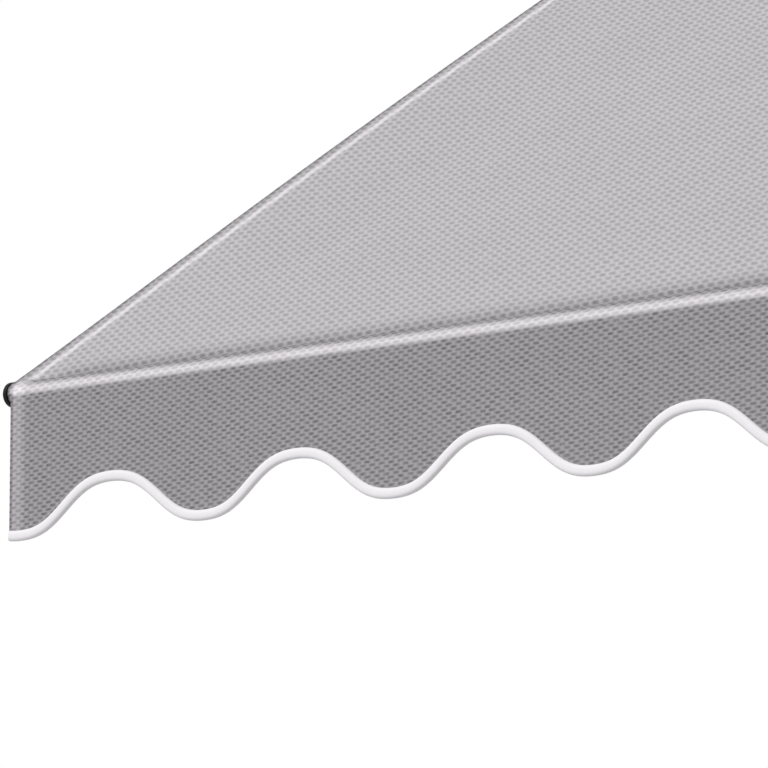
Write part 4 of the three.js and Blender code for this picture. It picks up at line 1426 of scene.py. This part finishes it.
@dataclass
class Screws:
    """Button-head screws in millimetres, modelled once and copied."""

    head: float
    height: float
    socket: float
    rim_share: float = 0.35
    crown: Outline = ((0.7, 1.0), (0.93, 0.75))
    facets: int = 12

    def model(self) -> bpy.types.Object:
        """Turn one screw head at the origin.

        Returns:
            The model, which is removed when its copies are made.
        """
        rim = self.height * self.rim_share
        profile = [(0, rim), (self.socket, rim), (self.socket, self.height)]
        profile += [(self.head * wide, self.height * high) for wide, high in self.crown]
        profile += [(self.head, rim), (self.head, 0), (0, 0)]
        return Bench.turned("screw_model", profile, Vector(), UP, self.facets)

    def fitted(self, name: str, seats: Sequence[tuple[Vector, Vector]]) -> bpy.types.Object:
        """Copy the screw to each seat and join the copies.

        Args:
            name: Name of the piece.
            seats: Foot and direction of each head.

        Returns:
            All heads as one piece.
        """
        model = self.model()
        parts = [Bench.copied(model, f"{name}_{i}", *seat) for i, seat in enumerate(seats)]
        bpy.data.objects.remove(model)
        piece = Bench.gathered(name, parts)
        Bench.soften(piece)
        return piece


@dataclass
class Post:
    """One telescopic post with its foot, clamp knob and ceiling jack.

    Sizes are in millimetres and roundings in metres. An outline here holds an inset from the
    piece's radius and a height from the end that it starts at.
    """

    side: Side
    gap: float = 0.3
    facets: int = 56
    tube: float = 21.0
    mast: float = 18.0
    wall: float = 2.0
    pipe_rounding: float = 0.5 * MM
    tube_low: float = 10.3
    tube_top: float = 2250.0
    mast_low: float = 1640.0
    mast_top: float = 2540.0
    lid_low: float = 2528.0
    lid_top: float = 2539.8
    lid_inset: float = 1.0
    lid_rounding: float = 0.4 * MM
    foot: float = 45.3
    foot_rim: Outline = ((1.2, 0), (0, 1.2), (0, 6), (1.2, 7.4), (9.3, 13), (12, 16.5))
    foot_seat: float = 10.0
    foot_top: float = 60.0
    foot_lip: float = 27.0
    foot_neck: float = 27.3
    foot_spread: float = 5.6
    foot_cone: float = 44.0
    foot_ribs: range = range(20, 58, 2)
    rib_height: float = 0.9
    rib_turn: float = 0.9
    tread_inset: float = 3.0
    tread_pitch: float = 4.0
    tread_width: float = 2.0
    tread_depth: float = 1.4
    tread_count: int = 7
    bush: float = 26.3
    bush_low: float = 2195.0
    bush_top: float = 2260.0
    bush_foot: Outline = ((1, 0), (0, 2), (0, 8), (1, 9.5))
    bush_head: Outline = ((1, 12), (0, 10), (0, 4), (3, 0))
    boss: float = 11.0
    boss_bore: float = 4.3
    boss_sink: float = 1.0
    boss_flare: float = 1.5
    boss_neck: float = 2.0
    boss_bevel: float = 1.0
    boss_facets: int = 40
    boss_z: float = 2225.0
    boss_end: float = 36.3
    knob_rounding: float = 2.2 * MM
    nut_rounding: float = 2.0 * MM
    grip_segments: int = 3
    screw: float = 8.0
    screw_low: float = 2440.0
    screw_facets: int = 28
    screw_bevel: float = 1.0
    thread: Outline = ((0.9, 0), (0, 0.9), (0, 1.5), (0.9, 2.4))
    thread_depth: float = 0.9
    thread_pitch: float = 3.0
    thread_start: float = 2.0
    thread_end: float = 3.0
    plate: float = 40.0
    plate_low: float = 2583.3
    plate_top: float = 2588.3
    plate_fillet: Outline = ((0, 0.4), (-2, 0))
    pad: float = 43.3
    pad_top: float = 2600.6
    pad_skirt: float = 1.0
    pad_crown: Outline = ((0, 3), (0.9, 0.9), (3, 0))
    groove_rim: float = 36.0
    groove_pitch: float = 6.0
    groove_width: float = 1.5
    groove_depth: float = 1.2
    groove_count: int = 5

    @property
    def axis(self) -> Vector:
        """Where the post's axis meets the ground."""
        return ALONG * self.side.post_x

    def upright(self, part: str, profile: Outline, rounding: float = 0.0) -> bpy.types.Object:
        """Turn a profile about the post's axis."""
        return Bench.turned(self.side.node(part), profile, self.axis, UP, self.facets, rounding)

    def build(self, finishes: Finishes) -> None:
        """Make the post's pieces.

        Args:
            finishes: The materials.
        """
        node = self.side.node
        profile = ring(self.tube - self.wall, self.tube, self.tube_low, self.tube_top)
        lower = self.upright("post_tube", profile, self.pipe_rounding)
        finishes.dress(lower, "posts", Slot.COATED_STEEL, node("lower_tube"))
        profile = ring(self.mast - self.wall, self.mast, self.mast_low, self.mast_top)
        mast = self.upright("mast_tube", profile, self.pipe_rounding)
        bore = self.screw + self.gap
        profile = ring(bore, self.mast - self.lid_inset, self.lid_low, self.lid_top)
        lid = self.upright("mast_lid", profile, self.lid_rounding)
        mast = Bench.gathered(node("mast_tube"), [mast, lid])
        finishes.dress(mast, node("mast"), Slot.COATED_STEEL, node("upper_tube"))
        self.add_foot(finishes)
        self.add_bush(finishes)
        self.add_jack(finishes)

    def add_foot(self, finishes: Finishes) -> None:
        """Make the rubber foot with its tread and ribs.

        Args:
            finishes: The materials.
        """
        tread = grooves(
            rim=self.foot - self.tread_inset,
            pitch=self.tread_pitch,
            slant=0.0,
            width=self.tread_width,
            count=self.tread_count,
            face=0.0,
            floor=self.tread_depth,
        )
        profile = [(0, self.tread_depth), *reversed(tread)]
        profile += [(self.foot - inset, z) for inset, z in self.foot_rim]
        for z in self.foot_ribs:
            cone = self.foot_spread * (self.foot_top - z) / self.foot_cone
            rib = self.rib_height * math.sin(z * self.rib_turn)
            profile.append((self.foot_neck + cone + rib, z))
        bore = self.tube + self.gap
        profile += [(self.foot_lip, self.foot_top), (bore, self.foot_top)]
        profile += [(bore, self.foot_seat), (0, self.foot_seat)]
        foot = self.upright("foot_rubber", profile)
        finishes.dress(foot, "posts", Slot.BLACK_RUBBER, self.side.node("foot"))

    def add_bush(self, finishes: Finishes) -> None:
        """Make the guide bush with its boss, and round the knob.

        Args:
            finishes: The materials.
        """
        node = self.side.node
        wide, narrow = self.tube + self.gap, self.mast + self.gap
        seat = self.tube_top + self.gap
        profile = [(wide, self.bush_low)]
        profile += [(self.bush - inset, self.bush_low + rise) for inset, rise in self.bush_foot]
        profile += [(self.bush - inset, self.bush_top - rise) for inset, rise in self.bush_head]
        profile += [(narrow, self.bush_top), (narrow, seat), (wide, seat), (wide, self.bush_low)]
        bush = self.upright("guide_collar", profile)
        bore, start, end = self.boss_bore, wide + self.boss_sink, self.boss_end
        profile = [(bore, start), (self.boss + self.boss_flare, start)]
        profile += [(self.boss, self.bush + self.boss_neck), (self.boss, end - self.boss_bevel)]
        profile += [(self.boss - self.boss_bevel, end), (bore, end), (bore, start)]
        base = self.axis + UP * (self.boss_z * MM)
        boss = Bench.turned("boss_model", profile, base, self.side.outward, self.boss_facets)
        bush = Bench.fused(bush, boss)
        finishes.dress(bush, "posts", Slot.BLACK_PLASTIC, node("guide_bush"))
        knob = node("clamp_knob")
        look = (Slot.BLACK_PLASTIC, self.knob_rounding, self.grip_segments)
        finishes.rounded(knob, node("knob"), knob, *look)

    def add_jack(self, finishes: Finishes) -> None:
        """Make the jack's screw, nut and pad.

        Args:
            finishes: The materials.
        """
        node = self.side.node
        core = self.screw - self.thread_depth
        profile = [(0, self.screw_low), (core - self.screw_bevel, self.screw_low)]
        start = self.screw_low + self.thread_start
        turns = math.ceil((self.plate_low - self.thread_end - start) / self.thread_pitch)
        for low in [start + self.thread_pitch * turn for turn in range(turns)]:
            profile += [(self.screw - inset, low + rise) for inset, rise in self.thread]
        profile += [(self.screw - inset, self.plate_low - z) for inset, z in self.plate_fillet]
        profile += [(self.plate, self.plate_low), (self.plate, self.plate_top), (0, self.plate_top)]
        screw = Bench.turned(node("jack_spindle"), profile, self.axis, UP, self.screw_facets)
        finishes.dress(screw, node("jack"), Slot.ZINC_STEEL, node("jack_screw"))
        inner, floor = self.plate + self.gap, self.plate_top + self.gap
        skirt = self.plate_low + self.pad_skirt
        profile = [(0, floor), (inner, floor), (inner, skirt), (self.pad, skirt)]
        profile += [(self.pad - inset, self.pad_top - z) for inset, z in self.pad_crown]
        profile += grooves(
            rim=self.groove_rim,
            pitch=self.groove_pitch,
            slant=self.groove_width,
            width=self.groove_width,
            count=self.groove_count,
            face=self.pad_top,
            floor=self.pad_top - self.groove_depth,
        )
        pad = self.upright("pad_rubber", [*profile, (0, self.pad_top)])
        finishes.dress(pad, node("jack"), Slot.BLACK_RUBBER, node("ceiling_pad"))
        nut = node("jack_nut")
        look = (Slot.BLACK_PLASTIC, self.nut_rounding, self.grip_segments)
        finishes.rounded(nut, node("hand_nut"), nut, *look)


@dataclass
class Clamp:
    """One post clamp with the bar holder that tilts on it."""

    side: Side
    ear_y: float = 0.041
    ear_face: float = 14 * MM
    screw_heights: tuple[float, float] = (2.114, 2.146)
    rounding: float = 1.4 * MM
    bolt_rounding: float = 0.8 * MM

    def build(self, finishes: Finishes) -> None:
        """Make the clamp, the holder, the bolt and the clamp's screws.

        Args:
            finishes: The materials.
        """
        side, node = self.side, self.side.node
        steel = (Slot.COATED_STEEL, self.rounding)
        finishes.rounded(node("post_clamp"), node("clamp_ring"), "posts", *steel)
        finishes.rounded(node("bar_holder"), node("bar_bracket"), "awning", *steel)
        bolt = (Slot.ZINC_STEEL, self.bolt_rounding)
        finishes.rounded(node("tilt_bolt"), node("hinge_bolt"), "awning", *bolt)
        seats = [
            (Vector((side.post_x + way.x * self.ear_face, self.ear_y, z)), way)
            for z in self.screw_heights
            for way in (-ALONG, ALONG)
        ]
        screws = Screws(head=6.0, height=4.6, socket=2.8).fitted(node("clamp_screws"), seats)
        finishes.dress(screws, "posts", Slot.ZINC_STEEL)


@dataclass
class Bar:
    """The square torsion bar with its end plates and the crank gear."""

    slope: Slope
    plate_face: float = 1.012
    plate_screws: Outline = ((-0.124, 2.118), (-0.086, 2.118), (-0.091, 2.152))
    housing_face: float = 1.7963
    housing_y: tuple[float, float] = (-0.131, -0.083)
    housing_z: tuple[float, float] = (2.165, 2.211)
    bar_rounding: float = 3.0 * MM
    plate_rounding: float = 1.0 * MM
    housing_rounding: float = 2.4 * MM
    eye_rounding: float = 0.4 * MM
    wide_segments: int = 3

    def build(self, finishes: Finishes) -> None:
        """Make the bar, the plates, the gear's housing and their screws.

        Args:
            finishes: The materials.
        """
        wide = self.wide_segments
        steel = ("awning", Slot.COATED_STEEL)
        finishes.rounded("torsion_bar", "square_bar", *steel, self.bar_rounding, wide)
        for side in Side:
            plate, name = side.node("end_plate"), side.node("side_plate")
            finishes.rounded(plate, name, *steel, self.plate_rounding)
        plastic = ("awning", Slot.BLACK_PLASTIC)
        finishes.rounded("gear_housing", "gear_case", *plastic, self.housing_rounding, wide)
        left = self.slope.middle_x - self.plate_face
        seats = [(Vector((left, y, z)), -ALONG) for y, z in self.plate_screws]
        seats += [
            (Vector((self.housing_face, y, z)), ALONG)
            for z in self.housing_z
            for y in self.housing_y
        ]
        screws = Screws(head=4.0, height=2.4, socket=1.8).fitted("plate_screws", seats)
        finishes.dress(screws, "awning", Slot.ZINC_STEEL)
        finishes.rounded("gear_eye", "crank_ring", "gear_eye", Slot.ZINC_STEEL, self.eye_rounding)


@dataclass
class Arm:
    """One folding arm between the torsion bar and the front rail."""

    side: Side
    rounding: float = 1.6 * MM
    segments: int = 3
    hollow: tuple[str, ...] = ("upper_arm", "forearm")

    def build(self, finishes: Finishes) -> None:
        """Round the arm's castings and profiles and plate its spring.

        Args:
            finishes: The materials.
        """
        side = self.side
        bodies = {
            "awning": ("shoulder_bracket",),
            side.node("upper_arm"): ("shoulder_knuckle", "upper_arm", "elbow_fork"),
            side.node("forearm"): ("elbow_tongue", "forearm", "wrist_knuckle"),
        }
        look = (Slot.COATED_ALLOY, self.rounding, self.segments)
        for body, parts in bodies.items():
            for part in parts:
                node = side.node(part)
                finishes.rounded(node, f"{node}_cast", body, *look, part in self.hollow)
        finishes.paint(side.node("arm_spring"), Slot.ZINC_STEEL)


@dataclass
class Crank:
    """The cranked rod with its grip, held by two clips on the right post.

    Sizes are in millimetres and roundings in metres.
    """

    x: float = 1618.0
    low: float = 614.3
    high: float = 719.3
    grip: float = 14.0
    bore: float = 6.3
    end_inset: float = 2.5
    swell: float = 1.8
    stations: int = 24
    ring_every: int = 3
    ringed: range = range(6, 19)
    ring_depth: float = 0.7
    facets: int = 36
    grip_rounding: float = 0.4 * MM
    rod_rounding: float = 0.5 * MM
    clip_rounding: float = 1.0 * MM

    def sleeve(self) -> list[tuple[float, float]]:
        """Profile of the grip, swelled in the middle and ringed.

        Returns:
            Radius and height of each point.
        """
        half = (self.high - self.low) / 2
        end = self.grip - self.end_inset
        profile = [(self.bore, self.low), (end, self.low)]
        for i in range(1, self.stations):
            z = self.low + 2 * half * i / self.stations
            swell = self.grip - self.swell * ((z - self.low - half) / half) ** 2
            ringed = i in self.ringed and i % self.ring_every == 0
            profile.append((swell - self.ring_depth * ringed, z))
        return profile + [(end, self.high), (self.bore, self.high), (self.bore, self.low)]

    def build(self, finishes: Finishes) -> None:
        """Make the rod, the grip and the clips.

        Args:
            finishes: The materials.
        """
        steel = (Slot.COATED_STEEL, self.rod_rounding)
        finishes.rounded("crank_rod", "cranked_rod", "posts", *steel)
        base = ALONG * (self.x * MM)
        grip = Bench.turned("grip_sleeve", self.sleeve(), base, UP, self.facets, self.grip_rounding)
        finishes.dress(grip, "crank_grip", Slot.BLACK_PLASTIC, "crank_grip")
        plastic = (Slot.BLACK_PLASTIC, self.clip_rounding)
        for place in ("upper", "lower"):
            finishes.rounded(f"crank_clip_{place}", f"rod_clip_{place}", "posts", *plastic)


@dataclass
class Studio:
    """The camera, the lamp, the white surround and the floor.

    The corner is the pixel where the front rail's left end falls, and the scale is in pixels a
    metre there.
    """

    slope: Slope
    azimuth: float = math.radians(42.0)
    elevation: float = math.radians(-8.131)
    distance: float = 9.85
    scale: float = 770.4
    corner: tuple[float, float] = (15.86, 394.67)
    frame_size: float = 768.0
    sensor: float = 36.0
    clip_end: float = 200.0
    sky: float = 0.5
    sun: float = 1.79
    sun_from: tuple[float, float, float] = (-0.402, -0.67, 0.625)
    sun_away: float = 4.0
    sun_angle: float = math.radians(14)
    floor_y: float = -0.6
    floor_z: float = -0.5 * MM
    floor_radius: float = 6.0
    floor_inset: float = 2.4
    floor_facets: int = 96
    floor_colour: Colour = (0.92, 0.92, 0.92, 1.0)
    floor_roughness: float = 0.9
    floor_fade: tuple[float, float] = (2.0, 5.7)

    @property
    def aim(self) -> Vector:
        """The front rail's left end."""
        return self.slope.rail(self.slope.left)

    def build(self) -> None:
        """Set up everything round the awning."""
        self.camera()
        self.light()
        self.floor()
        bpy.context.scene.view_settings.view_transform = "Standard"

    def camera(self) -> None:
        """Stand the camera where the front left corner falls on its pixel."""
        a, e = self.azimuth, self.elevation
        back = Vector((math.sin(a) * math.cos(e), -math.cos(a) * math.cos(e), math.sin(e)))
        right = Vector((math.cos(a), math.sin(a), 0))
        up = back.cross(right)
        half = self.frame_size / 2
        look = self.aim + right * ((half - self.corner[0]) / self.scale)
        look += up * ((self.corner[1] - half) / self.scale)
        Bench.clear()
        bpy.ops.object.camera_add(location=look + back * self.distance)
        camera = bpy.context.object
        camera.rotation_euler = Matrix((right, up, back)).transposed().to_euler()
        camera.data.sensor_width = self.sensor
        camera.data.lens = self.sensor * self.distance * self.scale / self.frame_size
        camera.data.clip_end = self.clip_end
        bpy.context.scene.camera = camera

    def light(self) -> None:
        """Hang one soft lamp and surround the awning with even light."""
        sun_from = Vector(self.sun_from)
        Bench.clear()
        bpy.ops.object.light_add(type="SUN", location=self.aim + sun_from * self.sun_away)
        lamp = bpy.context.object
        lamp.rotation_euler = sun_from.to_track_quat("Z", "Y").to_euler()
        lamp.data.energy = self.sun
        lamp.data.angle = self.sun_angle
        world = bpy.data.worlds.new("studio")
        bpy.context.scene.world = world
        graph = Graph(world)
        strength = self.seen(graph) * (1 - self.sky) + self.sky
        inputs = {"Color": (1, 1, 1, 1), "Strength": strength}
        shader = graph.node("ShaderNodeBackground", None, inputs)
        graph.node("ShaderNodeOutputWorld", None, {"Surface": shader.outputs[0]})

    @staticmethod
    def seen(graph: Graph) -> Value:
        """Tell the rays that show the background from those that light the awning.

        Args:
            graph: The world's nodes.

        Returns:
            One for rays that show the background, else zero.
        """
        path = graph.node("ShaderNodeLightPath").outputs
        kinds = ("Is Camera Ray", "Is Glossy Ray", "Is Transmission Ray")
        first, second, third = (Value(graph, path[kind]) for kind in kinds)
        return first.most(second).most(third)

    def floor(self) -> None:
        """Lay a pale round floor that fades out into the surround."""
        Bench.clear()
        bpy.ops.mesh.primitive_circle_add(
            vertices=self.floor_facets,
            radius=self.floor_radius,
            fill_type="NGON",
            location=(self.slope.middle_x, self.floor_y, self.floor_z),
        )
        floor = bpy.context.object
        floor.name = "studio_floor"
        with Bench.editing(floor):
            bpy.ops.mesh.inset(thickness=self.floor_inset)
        floor.data.materials.append(self.floor_finish())

    def floor_finish(self) -> bpy.types.Material:
        """Pale matt floor, see-through towards its rim.

        Returns:
            The floor's material.
        """
        made = bpy.data.materials.new("studio_floor")
        graph = Graph(made)
        away = graph.node("ShaderNodeVectorMath", {"operation": "LENGTH"}, {0: graph.place()})
        fade = Value(graph, away.outputs["Value"]).smooth(*self.floor_fade)
        inputs = {"Base Color": self.floor_colour, "Roughness": self.floor_roughness}
        plain = graph.node("ShaderNodeBsdfPrincipled", None, inputs).outputs[0]
        clear = graph.node("ShaderNodeBsdfTransparent").outputs[0]
        both = graph.node("ShaderNodeMixShader", None, {0: fade, 1: plain, 2: clear})
        graph.node("ShaderNodeOutputMaterial", None, {"Surface": both.outputs[0]})
        return made


def main() -> None:
    """Build the awning piece by piece and set it in the studio."""
    logging.basicConfig(level=logging.INFO, format="%(name)s: %(message)s")
    finishes = Finishes()
    slope = Slope()
    Studio(slope).build()
    for part in (Canopy(slope), Valance(slope), Rail(slope), Roller(slope)):
        part.build(finishes)
    for side in Side:
        for part in (Post(side), Clamp(side), Arm(side)):
            part.build(finishes)
    for part in (Bar(slope), Crank()):
        part.build(finishes)
    Bench.clear()


if __name__ == "__main__":
    main()
